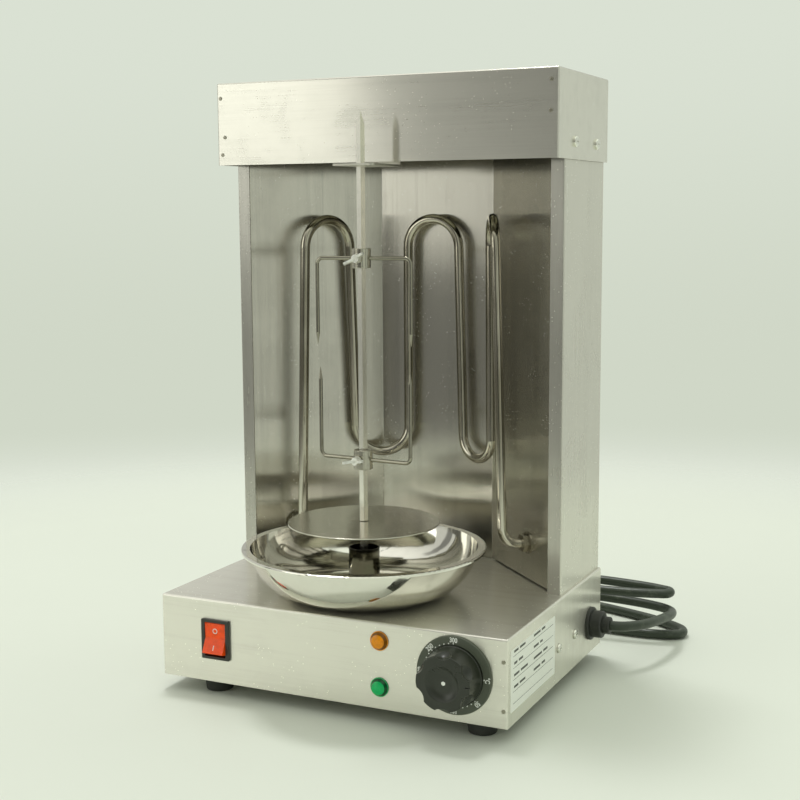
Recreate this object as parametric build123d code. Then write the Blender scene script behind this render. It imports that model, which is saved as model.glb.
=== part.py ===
from build123d import *
import math
import os

# Countertop vertical broiler. Millimetres, +X to the right, +Y to the back, +Z up.
# The origin is the middle of the base's lower rim, one foot's height above the table.

# Base box
base_width = 290.0
base_depth = 218.0
base_height = 65.0
sheet = 1.0
fold = 1.5
rim_flange = 12.0
plate_recess = 0.5
foot_height = 12.0
foot_top_radius = 12.0
foot_bottom_radius = 10.6
foot_inset = 19.5
foot_spread = 112.0
foot_shift = 6.5

# Column behind the spit, the folded reflector inside it and the hood on top
column_width = 285.0
column_depth = 97.0
flange_width = 11.0
tab_width = 12.0
reflector_sheet = 0.8
reflector_width = 103.0
reflector_front_gap = 85.8
reflector_tuck = 4.0
hood_width = 291.0
hood_height = 65.3
hood_bottom = 398.8
hood_overhang = 24.4
hem = 10.0
hood_screw_height = 412.0
hood_screw_depths = (25.9, 78.5)
hood_rivet_places = ((-142.0, 452.0), (-138.5, 421.0), (-141.0, 407.0), (139.7, 455.0),
                     (139.3, 432.8))
bracket_sheet = 1.5
bracket_width = 35.0
bracket_reach = 44.6
bracket_drop = 2.4
bracket_lip = 25.0

# Spit and what sits on it
spit_y = -43.0
spit_side = 4.5
spit_turn = -18.1
spit_foot = 62.5
spit_shoulder = 425.8
spit_tip = 435.4
collar_radius = 7.2
collar_height = 15.0
collar_bore = 4.0
collar_boss_radius = 3.6
collar_boss_reach = 1.5
thumb_shank_radius = 2.0
thumb_tip = 3.4
thumb_boss = 5.4
thumb_boss_height = 4.4
thumb_wing_half = 0.9
fork_wire_radius = 1.5
fork_bend = 4.5
prong_point = 9.0
upper_fork_height = 326.0
upper_fork_arms = (37.0, 40.0)
upper_fork_turn = 4.0
upper_fork_drop = -66.0
lower_fork_height = 171.5
lower_fork_arms = (38.5, 42.0)
lower_fork_turn = -5.0
lower_fork_rise = 69.5
disc_height = 121.4
disc_radius = 59.0
disc_sheet = 1.2
stop_radius = 6.0
stop_height = 8.0

# Drip bowl with its centre sleeve
bowl_floor_radius = 48.0
bowl_wall_radius = 89.4
bowl_rim_radius = 95.3
bowl_height = 38.6
bowl_sheet = 0.8
sleeve_radius = 12.1
sleeve_height = 37.3

# Heater tube
heater_radius = 4.0
heater_top = 355.0
heater_bottom = 155.0
terminal_height = 95.5
terminal_bend = 14.0
terminal_reach = 26.0
straight_angle = 0.02

# Drive under the bowl
socket_radius = 8.0
socket_low = 52.0
socket_top = 92.0
running_gap = 0.05
bush_radius = 9.5
shaft_radius = 3.5
motor_radius = 30.0
motor_low = 22.0
motor_top = 48.5
rotor_radius = 15.5
air_gap = 0.8
rotor_shaft_radius = 1.5
gear_module = 0.7
gear_teeth = 34
pinion_teeth = 12
gear_low = 39.0
gear_width = 6.0

# Controls on the front panel
control_middle = 34.2
switch_x = -95.3
bezel_width = 24.8
bezel_height = 31.5
bezel_depth = 2.2
switch_case = (22.0, 28.0, 19.0)
switch_pocket = (18.6, 27.0, 21.0)
switch_play = 0.4
rocker_width = 18.0
rocker_tilt = 12.0
rocker_pivot = 3.0
rocker_pin_radius = 1.5
lamp_flange_radius = 7.3
lamp_flange_height = 0.7
lamp_lens_radius = 5.1
lamp_lens_height = 3.1
lamp_dome_radius = 14.0
lamp_barrel_radius = 5.0
lamp_barrel_length = 20.0
lamp_x = 45.2
lamp_heights = {"amber": 51.5, "green": 16.6}
dial_x = 104.5
dial_radius = 29.0
knob_radius = 22.0
knob_depth = 22.0
knob_scallops = 6
scallop_radius = 9.0
scallop_out = 26.5
knob_dish_floor = 6.0
knob_dish_radius = 12.8
knob_dish_depth = 2.6
spindle_radius = 3.0

# Mains cable
gland_y = 79.0
gland_z = 25.0
cable_radius = 4.0

# Places that follow from the dimensions above
front_y = -base_depth / 2
back_y = base_depth / 2
side_x = base_width / 2
table_z = -foot_height
column_front = back_y - column_depth
column_side = column_width / 2
hood_top = hood_bottom + hood_height
hood_front = column_front - hood_overhang
reflector_y = column_front + reflector_front_gap
plate_z = plate_recess
plate_top = plate_recess + sheet
base_inner_top = base_height - sheet
gear_centres = gear_module * (gear_teeth + pinion_teeth) / 2
motor_y = spit_y + gear_centres


def block(low, high):
    """A box between two corners."""
    size = [b - a for a, b in zip(low, high)]
    middle = [(a + b) / 2 for a, b in zip(low, high)]
    return Pos(*middle) * Box(*size)


def rod(point, direction, radius, length):
    """A cylinder that starts at a point and runs along a direction."""
    return Plane(origin=point, z_dir=direction).location * Cylinder(
        radius, length, align=(Align.CENTER, Align.CENTER, Align.MIN)
    )


def upright(x, y, low, high, radius):
    return rod((x, y, low), (0, 0, 1), radius, high - low)


def ring(x, y, low, high, outer, inner):
    return upright(x, y, low, high, outer) - upright(x, y, low - 1, high + 1, inner)


def hexagon(point, direction, across_flats, thickness, bore):
    """A hexagonal nut that lies against a surface at a point."""
    place = Plane(origin=point, z_dir=direction).location
    outline = RegularPolygon(across_flats / 2, 6, major_radius=False) - Circle(bore)
    return place * extrude(outline, thickness)


def pan_screw(point, direction, shank, length, head=None):
    """A pan-head screw: the head stands out against the direction, the shank runs along it."""
    head = head or shank * 2
    height = shank * 1.1
    place = Plane(origin=point, z_dir=[-d for d in direction]).location
    cap = Cylinder(head, height, align=(Align.CENTER, Align.CENTER, Align.MIN))
    cap = fillet(cap.edges().sort_by(Axis.Z)[-1], height * 0.6)
    slot_depth = height * 0.45
    for turn in (0, 90):
        slot = Rot(0, 0, turn) * Box(head * 1.1, shank * 0.35, slot_depth)
        cap -= Pos(0, 0, height - slot_depth / 2) * slot
    return place * cap + rod(point, direction, shank, length)


def group(solids):
    """Identical separate solids that share one node."""
    return Compound(children=list(solids))


def smooth_tube(path, radius):
    """A round tube along a smooth path."""
    start = Plane(origin=path @ 0, z_dir=path % 0)
    return sweep(start * Circle(radius), path=path)


def arc_from(start, heading, end):
    """The arc, or line, that leaves a point along a heading and arrives at another point."""
    if (end - start).get_angle(heading) < straight_angle:
        return Line(start, end)
    return TangentArc(start, end, tangent=heading)


def smooth_link(start, leaving, end, arriving):
    """Two arcs that join two points and keep a heading at each of them."""
    chord = end - start
    along = chord.dot(leaving + arriving)
    spread = 2 * (1 - leaving.dot(arriving))
    if spread < 1e-9:
        reach = chord.dot(chord) / (2 * along)
    else:
        reach = (math.sqrt(along * along + spread * chord.dot(chord)) - along) / spread
    middle = (start + leaving * reach + end - arriving * reach) / 2
    first = arc_from(start, leaving, middle)
    return [first, arc_from(middle, first % 1, end)]


def smooth_run(stations):
    """A path without corners through points, each given with its heading."""
    edges = []
    for (start, leaving), (end, arriving) in zip(stations, stations[1:]):
        if max((end - start).get_angle(h) for h in (leaving, arriving)) < straight_angle:
            edges.append(Line(start, end))
        else:
            edges += smooth_link(start, leaving, end, arriving)
    return Wire(edges)


def smooth_path(points, first, last):
    """A path through points without corners, that starts and ends along two directions."""
    points = [Vector(*p) for p in points]
    headings = [Vector(*first).normalized()]
    for before, after in zip(points, points[2:]):
        headings.append((after - before).normalized())
    headings.append(Vector(*last).normalized())
    return smooth_run(list(zip(points, headings)))


def folded_box(low, high, radius):
    """A box with its upper and upright edges rounded, as a sheet-metal cover is."""
    body = block(low, high)
    edges = body.edges().filter_by(Axis.Z) + body.faces().sort_by(Axis.Z)[-1].edges()
    return fillet(edges, radius)


def on_front(x, z):
    """Local X to the right, local Y up and local Z out of the front panel."""
    return Plane(origin=(x, front_y, z), x_dir=(1, 0, 0), z_dir=(0, -1, 0)).location


# Base

def side_screw_ys():
    return (0.0, 39.0)


def motor_stud_places():
    offset = motor_radius * 0.88
    return [(sx * offset, motor_y + sy * offset) for sx in (-1, 1) for sy in (-1, 1)]


def plate_screw_places():
    y = base_depth / 2 - rim_flange / 2
    return [(sx * 95.0, sy * y) for sx in (-1, 1) for sy in (-1, 1)]


def foot_places():
    y = base_depth / 2 - foot_inset
    return [(foot_shift + sx * foot_spread, sy * y) for sx in (-1, 1) for sy in (-1, 1)]


def column_screw_places():
    y = back_y - sheet - tab_width / 2
    return [(sx * 90.0, y) for sx in (-1, 1)] + [(sx * 136.0, 45.0) for sx in (-1, 1)]


def grommet_places():
    return [(sx * 118.0, 82.0) for sx in (-1, 1)]


grommet_radius = 7.0


def base_housing():
    body = folded_box((-side_x, front_y, 0), (side_x, back_y, base_height), fold)
    inside = folded_box(
        (-side_x + sheet, front_y + sheet, -1),
        (side_x - sheet, back_y - sheet, base_inner_top),
        fold - sheet,
    )
    body -= inside
    for side in (-1, 1):
        edge = side * (base_depth / 2 - sheet / 2)
        reach = side * (base_depth / 2 - rim_flange)
        low, high = sorted((edge, reach))
        wide = side_x - sheet / 2
        body += block((-wide, low, plate_top), (wide, high, plate_top + sheet))
    body -= upright(0, spit_y, base_inner_top - 1, base_height + 1, bush_radius)
    for x, y in plate_screw_places():
        body -= upright(x, y, plate_top - 1, plate_top + sheet + 1, 1.5)
    for x, y in grommet_places():
        body -= upright(x, y, base_inner_top - 1, base_height + 1, grommet_radius)
    for x, y in column_screw_places():
        body -= upright(x, y, base_inner_top - 1, base_height + 1, 1.75)
    front = on_front(switch_x, control_middle)
    body -= front * Box(switch_case[0] + switch_play, switch_case[1] + switch_play, 6)
    for height in lamp_heights.values():
        body -= on_front(lamp_x, height) * Cylinder(lamp_barrel_radius + 0.1, 6)
    body -= on_front(dial_x, control_middle) * Cylinder(5.0, 6)
    for side in (-1, 1):
        body -= on_front(dial_x + side * 14, control_middle) * Cylinder(2.0, 6)
    for y in side_screw_ys():
        body -= rod((side_x - 3, y, 27.0), (1, 0, 0), 1.75, 6)
    body -= rod((side_x - 3, gland_y, gland_z), (1, 0, 0), 8.0, 6)
    return body


def base_bottom_plate():
    gap = 0.3
    x = side_x - sheet - gap
    y = base_depth / 2 - sheet - gap
    plate = block((-x, -y, plate_z), (x, y, plate_top))
    for px, py in plate_screw_places():
        plate -= upright(px, py, plate_z - 1, plate_top + 1, 1.5)
    for px, py in foot_places():
        plate -= upright(px, py, plate_z - 1, plate_top + 1, 2.0)
    slot = SlotOverall(46, 4)
    for row in range(6):
        outline = Pos(0, motor_y - 30 + row * 12, plate_z - 1) * slot
        plate -= extrude(outline, sheet + 2)
    return plate


def bottom_plate_screws():
    return group(
        pan_screw((x, y, plate_z), (0, 0, 1), 1.5, 6.0, 3.4) for x, y in plate_screw_places()
    )


def rubber_foot(x, y):
    foot = loft(
        [
            Pos(x, y, table_z) * Circle(foot_bottom_radius),
            Pos(x, y, plate_z) * Circle(foot_top_radius),
        ]
    )
    foot = fillet(foot.edges().sort_by(Axis.Z)[0], 1.2)
    foot -= upright(x, y, table_z - 1, plate_z + 1, 2.0)
    return foot - upright(x, y, table_z - 1, table_z + foot_height / 2, 5.2)


def rubber_feet():
    return group(rubber_foot(x, y) for x, y in foot_places())


def foot_screws():
    head_z = table_z + foot_height / 2
    return group(
        pan_screw((x, y, head_z), (0, 0, 1), 2.0, 13.0, 4.2) for x, y in foot_places()
    )


def panel_rivets():
    """Small flat rivets near the corners of the front panel and of the hood's front."""
    places = [(side_x - 3.2, front_y, z) for z in (48.5, 12.6)]
    places += [(x, hood_front, z) for x, z in hood_rivet_places]
    heads = []
    for x, y, z in places:
        head = rod((x, y - 0.5, z), (0, 1, 0), 1.5, 0.5)
        heads.append(fillet(head.edges().sort_by(Axis.Y)[0], 0.3))
    return group(heads)


# Column

def column_shell():
    low = (-column_side, column_front, base_height)
    high = (column_side, back_y, hood_top - sheet)
    body = fillet(block(low, high).edges().filter_by(Axis.Z), fold)
    inner = block(
        (-column_side + sheet, column_front + sheet, base_height + sheet),
        (column_side - sheet, back_y - sheet, hood_top + 1),
    )
    body -= fillet(inner.edges().filter_by(Axis.Z), fold - sheet)
    window = column_side - flange_width
    tabs = column_side - sheet - tab_width
    body -= block(
        (-window, column_front - 1, base_height - 1), (window, column_front + 3, hood_top + 1)
    )
    body -= block(
        (-tabs, column_front - 1, base_height - 1),
        (tabs, back_y - sheet - tab_width, base_height + 2 * sheet),
    )
    for x, y in column_screw_places():
        body -= upright(x, y, base_height - 1, base_height + 3, 1.75)
    for x, y in grommet_places():
        body -= upright(x, y, base_height - 1, base_height + 3, grommet_radius + 2.2)
    for side in (-1, 1):
        for y in hood_screw_depths:
            body -= rod((side * (column_side - 4), y, hood_screw_height), (side, 0, 0), 1.9, 8)
    slot = Plane.XZ * SlotOverall(34, 4)
    for column in (-1, 0, 1):
        for row in range(5):
            for low_z in (110.0, 330.0):
                z = low_z + row * 10
                cut = Pos(column * 60, back_y + 2, z) * extrude(slot, 5)
                body -= cut
    return body


def column_screws():
    return group(
        pan_screw((x, y, base_inner_top), (0, 0, 1), 1.75, 6.0) for x, y in column_screw_places()
    )


def sheet_outline(points, thickness):
    """The closed outline of a bent strip that keeps its thickness round every bend."""
    shifted = []
    for i, point in enumerate(points):
        before = points[max(i - 1, 0)]
        after = points[min(i + 1, len(points) - 1)]
        normals = []
        for a, b in ((before, point), (point, after)):
            length = math.dist(a, b)
            if length:
                normals.append(((a[1] - b[1]) / length, (b[0] - a[0]) / length))
        nx = sum(n[0] for n in normals)
        ny = sum(n[1] for n in normals)
        scale = 2 * thickness / (nx * nx + ny * ny) if len(normals) == 2 else thickness
        shifted.append((point[0] + nx * scale, point[1] + ny * scale))
    return Polyline(*points, *reversed(shifted), close=True)


def reflector_points():
    """Centre panel with two wings at 45 degrees that end just behind the column's flanges."""
    half = reflector_width / 2
    edge_y = column_front + sheet + 0.1 + reflector_sheet
    edge_x = half + reflector_y - edge_y
    return [(-edge_x, edge_y), (-half, reflector_y), (half, reflector_y), (edge_x, edge_y)]


def reflector():
    outline = make_face(sheet_outline(reflector_points(), reflector_sheet))
    low = base_height + sheet + 0.2
    panel = Pos(0, 0, low) * extrude(outline, hood_top - 14 - low)
    bends = panel.edges().filter_by(Axis.Z).filter_by(
        lambda e: abs(abs(e.center().X) - reflector_width / 2) < 2 * reflector_sheet
    )
    panel = fillet(bends, 1.0)
    for side in (-1, 1):
        _, direction = terminal_axis(side)
        panel -= rod(terminal_point(side, wing_distance(side) - 5), direction, 5.05, 10)
    return panel


def hood_shell():
    side = hood_width / 2
    low = (-side, hood_front, hood_bottom)
    body = folded_box(low, (side, back_y, hood_top), fold)
    inner = folded_box(
        (-side + sheet, hood_front + sheet, hood_bottom - 1),
        (side - sheet, back_y + 2, hood_top - sheet),
        fold - sheet,
    )
    body -= inner
    body -= block((-side - 1, back_y - 0.2, hood_bottom - 1), (side + 1, back_y + 1, hood_top + 1))
    hem_top = hood_bottom + hem
    inner_side = side - sheet
    body += block(
        (-inner_side, hood_front + sheet / 2, hood_bottom),
        (inner_side, hood_front + 2 * sheet, hem_top),
    )
    for s in (-1, 1):
        low_x, high_x = sorted((s * (side - sheet / 2), s * (side - 2 * sheet)))
        body += block((low_x, hood_front + sheet, hood_bottom), (high_x, back_y - 0.2, hem_top))
    for s in (-1, 1):
        for y in hood_screw_depths:
            body -= rod((s * (side - 4), y, hood_screw_height), (s, 0, 0), 1.9, 8)
    return body


def hood_screws():
    screws = []
    for side in (-1, 1):
        for y in hood_screw_depths:
            point = (side * hood_width / 2, y, hood_screw_height)
            screws.append(pan_screw(point, (-side, 0, 0), 1.9, 9.0, 4.3))
    return group(screws)


def spit_bracket():
    """The strip under the hood that steadies the top of the spit, with its upturned lip."""
    half = bracket_width / 2
    top = hood_bottom - bracket_drop
    low = top - bracket_sheet
    lip_front = hood_front + 2 * sheet
    lip_back = lip_front + bracket_sheet
    front = hood_front - bracket_reach
    plate = block((-half, front, low), (half, lip_back, top))
    corners = plate.edges().filter_by(Axis.Z).sort_by(Axis.Y)[:2]
    plate = fillet(corners, 3.0)
    plate += block((-half, lip_front, low), (half, lip_back, low + bracket_lip))
    return plate - upright(0, spit_y, low - 1, top + 1, 4.0)


# Heater

def heater_legs():
    """Top and bottom of the six upright legs, from left to right, measured from the base's front."""
    tops = [(-85.3, 131.5), (-65.8, 173.8), (-22, 197), (25, 196), (58.8, 182), (79, 142)]
    feet = [(-91.5, 132), (-64.5, 180), (-22, 197), (29.6, 195), (60.7, 180), (86, 140)]
    shift = [(x, y + front_y) for x, y in tops], [(x, y + front_y) for x, y in feet]
    return shift


def terminal_axis(side):
    """Where an outer leg's foot turns towards the wing behind it, and the wing's outward normal."""
    tops, feet = heater_legs()
    foot = feet[0] if side < 0 else feet[-1]
    direction = (side * math.sqrt(0.5), math.sqrt(0.5), 0)
    return (foot[0], foot[1], terminal_height), direction


def wing_distance(side):
    """How far the terminal's axis runs from the leg to the wing's front face."""
    (x, y, _), _ = terminal_axis(side)
    wing_sum = reflector_width / 2 + reflector_y
    return (wing_sum - (abs(x) + y)) / math.sqrt(2)


def terminal_point(side, distance):
    point, direction = terminal_axis(side)
    return tuple(p + d * distance for p, d in zip(point, direction))


def heater_leg(index):
    """The lower and upper end of a leg's straight stretch, between its two turns."""
    tops, feet = heater_legs()

    def turn_radius(ends, other):
        return math.dist(ends[index], ends[other]) / 2

    last = len(tops) - 1
    upper = heater_top - turn_radius(tops, index + 1 if index % 2 == 0 else index - 1)
    lower = terminal_height + terminal_bend
    if 0 < index < last:
        lower = heater_bottom + turn_radius(feet, index - 1 if index % 2 == 0 else index + 1)
    return Vector(*feet[index], lower), Vector(*tops[index], upper)


def heater_stations():
    """Points and headings along the tube, from the left terminal to the right one."""
    stations = []
    for side in (-1, 1):
        _, direction = terminal_axis(side)
        heading = Vector(*direction) * side
        ends = [
            (Vector(*terminal_point(side, wing_distance(side) + terminal_reach)), heading),
            (Vector(*terminal_point(side, terminal_bend)), heading),
        ]
        stations.append(ends if side < 0 else ends[::-1])
    left, right = stations
    middle = []
    for index in range(len(heater_legs()[0])):
        ends = heater_leg(index)
        low, high = ends if index % 2 == 0 else ends[::-1]
        heading = (high - low).normalized()
        middle += [(low, heading), (high, heading)]
    return left + middle + right


def heater_tube():
    return smooth_tube(smooth_run(heater_stations()), heater_radius)


def heater_bushes():
    """Threaded sleeves on the tube's ends, with a hexagon on the chamber side."""
    bushes = []
    for side in (-1, 1):
        reach = wing_distance(side)
        _, direction = terminal_axis(side)
        start = terminal_point(side, reach - 6.0)
        bush = hexagon(start, direction, 13.0, 5.0, heater_radius)
        barrel = rod(start, direction, 5.0, 20.0) - rod(start, direction, heater_radius, 20.0)
        bushes.append(bush + barrel)
    return group(bushes)


def heater_fixings():
    """A washer in front of each wing and a nut behind it."""
    pieces = []
    for side in (-1, 1):
        reach = wing_distance(side)
        _, direction = terminal_axis(side)
        front = terminal_point(side, reach - 1.0)
        back = terminal_point(side, reach + reflector_sheet)
        pieces.append(rod(front, direction, 9.0, 1.0) - rod(front, direction, 5.0, 1.0))
        pieces.append(hexagon(back, direction, 13.0, 5.0, 5.0))
    return group(pieces)


def heater_terminals():
    """A ceramic bead and a steel pin at each end of the tube."""
    pieces = []
    for side in (-1, 1):
        end = terminal_point(side, wing_distance(side) + terminal_reach)
        _, direction = terminal_axis(side)
        pieces.append(rod(end, direction, 4.5, 6.0) - rod(end, direction, 1.5, 6.0))
        pieces.append(rod(end, direction, 1.5, 12.0))
    return group(pieces)


# Spit

def spit():
    place = Pos(0, spit_y, 0) * Rot(0, 0, spit_turn)
    bar = extrude(Pos(0, 0, spit_foot) * Rectangle(spit_side, spit_side), spit_shoulder - spit_foot)
    point = loft(
        [
            Pos(0, 0, spit_shoulder) * Rectangle(spit_side, spit_side),
            Pos(0, 0, spit_tip) * Rectangle(0.4, 0.4),
        ]
    )
    return place * (bar + point)


def square_hole(low, high):
    hole = extrude(
        Pos(0, 0, low) * Rectangle(spit_side + 4 * running_gap, spit_side + 4 * running_gap),
        high - low,
    )
    return Pos(0, spit_y, 0) * Rot(0, 0, spit_turn) * hole


def disc_stop():
    """The collar fixed on the spit that carries the meat disc."""
    low = disc_height - stop_height
    collar = upright(0, spit_y, low, disc_height, stop_radius)
    bar = extrude(Pos(0, 0, low) * Rectangle(spit_side, spit_side), stop_height)
    return collar - Pos(0, spit_y, 0) * Rot(0, 0, spit_turn) * bar


def meat_disc():
    plate = upright(0, spit_y, disc_height, disc_height + disc_sheet, disc_radius)
    plate = fillet(plate.edges(), 0.4)
    return plate - upright(0, spit_y, disc_height - 1, disc_height + 3, 4.0)


def fork_prong(height, arm, angle, rise):
    """One wire: out of the collar, round the bend, and along the spit to its point."""
    direction = (math.cos(math.radians(angle)), math.sin(math.radians(angle)))
    sign = 1 if rise > 0 else -1

    def at(out, up):
        return (direction[0] * out, spit_y + direction[1] * out, height + up)

    end = rise - sign * prong_point
    corner = fork_bend * (1 - math.sqrt(0.5))
    run = Line(at(collar_radius - 2.5, 0), at(arm - fork_bend, 0))
    bend = ThreePointArc(
        at(arm - fork_bend, 0), at(arm - corner, sign * corner), at(arm, sign * fork_bend)
    )
    leg = Line(at(arm, sign * fork_bend), at(arm, end))
    wire = smooth_tube(Wire([run, bend, leg]), fork_wire_radius)
    tip = loft(
        [
            Plane(origin=at(arm, end), z_dir=(0, 0, sign)) * Circle(fork_wire_radius),
            Plane(origin=at(arm, rise), z_dir=(0, 0, sign)) * Circle(0.25),
        ]
    )
    return wire + tip


def fork_wires(height, arms, turn, rise):
    right = fork_prong(height, arms[1], turn, rise)
    left = fork_prong(height, arms[0], turn + 180, rise)
    return group([left, right])


def thumb_axis(turn):
    """The thumb screw points forwards, square to the fork's arms."""
    angle = math.radians(turn - 90)
    return (math.cos(angle), math.sin(angle), 0)


def fork_collar(height, arms, turn, rise):
    low = height - collar_height / 2
    body = upright(0, spit_y, low, low + collar_height, collar_radius)
    body = fillet(body.edges(), 0.6)
    body -= upright(0, spit_y, low - 1, low + collar_height + 1, collar_bore)
    axis = thumb_axis(turn)
    boss = rod((0, spit_y, height), axis, collar_boss_radius, collar_radius + collar_boss_reach)
    body += boss - upright(0, spit_y, low, low + collar_height, collar_radius - 1)
    body -= rod((0, spit_y, height), axis, thumb_shank_radius + running_gap, 20)
    body -= upright(0, spit_y, low - 1, low + collar_height + 1, collar_bore)
    for solid in fork_wires(height, arms, turn, rise).solids():
        body -= solid
    return body


def thumb_screw(height, turn, roll):
    """Wing screw: threaded shank, round boss and two flared wings."""
    direction = thumb_axis(turn)
    upwards = (Align.CENTER, Align.CENTER, Align.MIN)
    shank = Cylinder(thumb_shank_radius, thumb_boss + 1, align=upwards)
    boss = Pos(0, 0, thumb_boss) * Cone(3.6, 3.0, thumb_boss_height, align=upwards)
    outline = Polyline((0, 5.8), (5.0, 6.2), (9.2, 11.2), (8.2, 14.6), (5.0, 13.6), (0, 9.6),
                       close=True)
    wing = extrude(Plane.XZ * make_face(outline), thumb_wing_half, both=True)
    wing = fillet(wing.edges().filter_by(Axis.Y).sort_by(Axis.X)[-4:], 1.2)
    screw = shank + boss
    for turn_over in (0, 180):
        screw += Rot(0, 0, turn_over) * wing
    place = Plane(
        origin=(direction[0] * thumb_tip, spit_y + direction[1] * thumb_tip, height),
        x_dir=(-direction[1], direction[0], 0),
        z_dir=direction,
    ).location
    return place * Rot(0, 0, roll) * screw


# Drip bowl

def bowl_profile(offset):
    """The bowl's wall from its floor to under the rim, moved inwards by an offset."""
    floor = (bowl_floor_radius, offset)
    middle = (76.2 - 0.7 * offset, 12.2 + 0.7 * offset)
    top = (bowl_wall_radius - offset, bowl_height - bowl_sheet + offset)
    return ThreePointArc(floor, middle, top), floor, top


def drip_bowl():
    outer, outer_floor, outer_top = bowl_profile(0)
    inner, inner_floor, inner_top = bowl_profile(bowl_sheet)
    hole = sleeve_radius - bowl_sheet
    lip_drop = 2.2
    rim_low = (bowl_rim_radius, bowl_height - lip_drop)
    rim_shoulder = (bowl_rim_radius, bowl_height - 1.0)
    rim_top = (bowl_rim_radius - 1.0, bowl_height)
    under = (bowl_rim_radius - bowl_sheet, bowl_height - lip_drop)
    under_top = (bowl_rim_radius - bowl_sheet, bowl_height - bowl_sheet)
    section = make_face(
        [
            Line((hole, 0), outer_floor),
            outer,
            Line(outer_top, under_top),
            Line(under_top, under),
            Line(under, rim_low),
            Line(rim_low, rim_shoulder),
            RadiusArc(rim_shoulder, rim_top, -1.0),
            Line(rim_top, inner_top),
            inner,
            Line(inner_floor, (hole, bowl_sheet)),
            Line((hole, bowl_sheet), (hole, 0)),
        ]
    )
    bowl = revolve(Plane.XZ * section, Axis.Z)
    return Pos(0, spit_y, base_height) * bowl


def bowl_sleeve():
    low = base_height + bowl_sheet
    tube = ring(0, spit_y, low, low + sleeve_height - bowl_sheet, sleeve_radius,
                sleeve_radius - bowl_sheet)
    return fillet(tube.edges().sort_by(Axis.Z)[-2:], 0.25)


# Drive

def gear(teeth, low, width, start_angle):
    """A spur gear with straight-flanked teeth and running backlash."""
    pitch_radius = gear_module * teeth / 2
    radii = {"root": pitch_radius - 1.15 * gear_module, "tip": pitch_radius + 0.8 * gear_module}
    step = 2 * math.pi / teeth
    points = []
    for tooth in range(teeth):
        middle = math.radians(start_angle) + tooth * step
        for part, share in (("root", -0.32), ("tip", -0.11), ("tip", 0.11), ("root", 0.32)):
            angle = middle + share * step
            points.append((radii[part] * math.cos(angle), radii[part] * math.sin(angle)))
    return extrude(Pos(0, 0, low) * make_face(Polyline(*points, close=True)), width)


def output_gear():
    wheel = Pos(0, spit_y, 0) * gear(gear_teeth, gear_low, gear_width, 90)
    return wheel - upright(0, spit_y, gear_low - 1, gear_low + gear_width + 1, shaft_radius)


def rotor_pinion():
    half_tooth = 180 / pinion_teeth
    wheel = Pos(0, motor_y, 0) * gear(pinion_teeth, gear_low - 0.5, gear_width + 1,
                                      -90 + half_tooth)
    return wheel - upright(0, motor_y, gear_low - 2, gear_low + gear_width + 2, rotor_shaft_radius)


def output_shaft():
    return upright(0, spit_y, 36.3, 59.0, shaft_radius)


def rotor_shaft():
    return upright(0, motor_y, motor_low + sheet + 0.1, motor_top - 1.1, rotor_shaft_radius)


def rotor_magnet():
    magnet = ring(0, motor_y, 25.6, 35.0, rotor_radius, rotor_shaft_radius)
    rims = magnet.edges().filter_by(GeomType.CIRCLE).filter_by(lambda e: e.radius > 5)
    return fillet(rims, 0.6)


def stator_coil():
    return ring(0, motor_y, 24.2, 35.0, 28.4, rotor_radius + air_gap)


def bearing_plate():
    plate = upright(0, motor_y, 35.6, 37.1, motor_radius - sheet)
    plate -= upright(0, motor_y, 35, 38, rotor_shaft_radius + running_gap)
    return plate - upright(0, spit_y, 35, 38, shaft_radius + running_gap)


def motor_can():
    can = upright(0, motor_y, motor_low, motor_top, motor_radius)
    can = fillet(can.edges().sort_by(Axis.Z)[0], 1.5)
    can -= upright(0, motor_y, motor_low + sheet, motor_top + 1, motor_radius - sheet)
    can += upright(0, motor_y, motor_low + sheet / 2, motor_low + sheet + 1.8, 4.0)
    bore = rotor_shaft_radius + running_gap
    return can - upright(0, motor_y, motor_low + sheet, motor_top, bore)


def gearbox_cover():
    half = motor_radius * 0.88 + 5.0
    top = motor_top + 1.5
    plate = block((-half, motor_y - half, motor_top), (half, motor_y + half, top))
    plate = fillet(plate.edges().filter_by(Axis.Z), 4.0)
    plate -= upright(0, spit_y, motor_top - 1, top + 1, shaft_radius + running_gap)
    for x, y in motor_stud_places():
        plate -= upright(x, y, motor_top - 1, top + 1, 2.0)
    return plate


def motor_mounting():
    """Four welded studs with their spacers and nuts."""
    spacer_low = motor_top + 1.5
    pieces = []
    for x, y in motor_stud_places():
        pieces.append(upright(x, y, 43.0, base_inner_top, 2.0))
        pieces.append(ring(x, y, spacer_low, base_inner_top, 3.5, 2.0))
        pieces.append(hexagon((x, y, motor_top), (0, 0, -1), 7.0, 3.2, 2.0))
    return group(pieces)


def drive_socket():
    body = upright(0, spit_y, socket_low, socket_top, socket_radius)
    body = fillet(body.edges(), 0.6)
    body -= upright(0, spit_y, socket_low - 1, 59.0, shaft_radius)
    body -= square_hole(spit_foot - 0.5, socket_top + 1)
    funnel = Cone(3.2, 5.4, 3.0, align=(Align.CENTER, Align.CENTER, Align.MIN))
    body -= Pos(0, spit_y, socket_top - 2.9) * funnel
    return body - rod((0, spit_y, 55.5), (0, -1, 0), 2.0, 20)


def socket_screw():
    grub = rod((0, spit_y - shaft_radius, 55.5), (0, -1, 0), 2.0, socket_radius - shaft_radius - 0.3)
    return grub - hexagon((0, spit_y - socket_radius + 2.3, 55.5), (0, -1, 0), 2.0, 4.0, 0.01)


def drive_bush():
    inner = socket_radius + running_gap
    barrel = ring(0, spit_y, 59.5, base_height, bush_radius, inner)
    return barrel + ring(0, spit_y, base_height, base_height + 1.0, bush_radius + 0.9, inner)


# Controls

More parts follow.
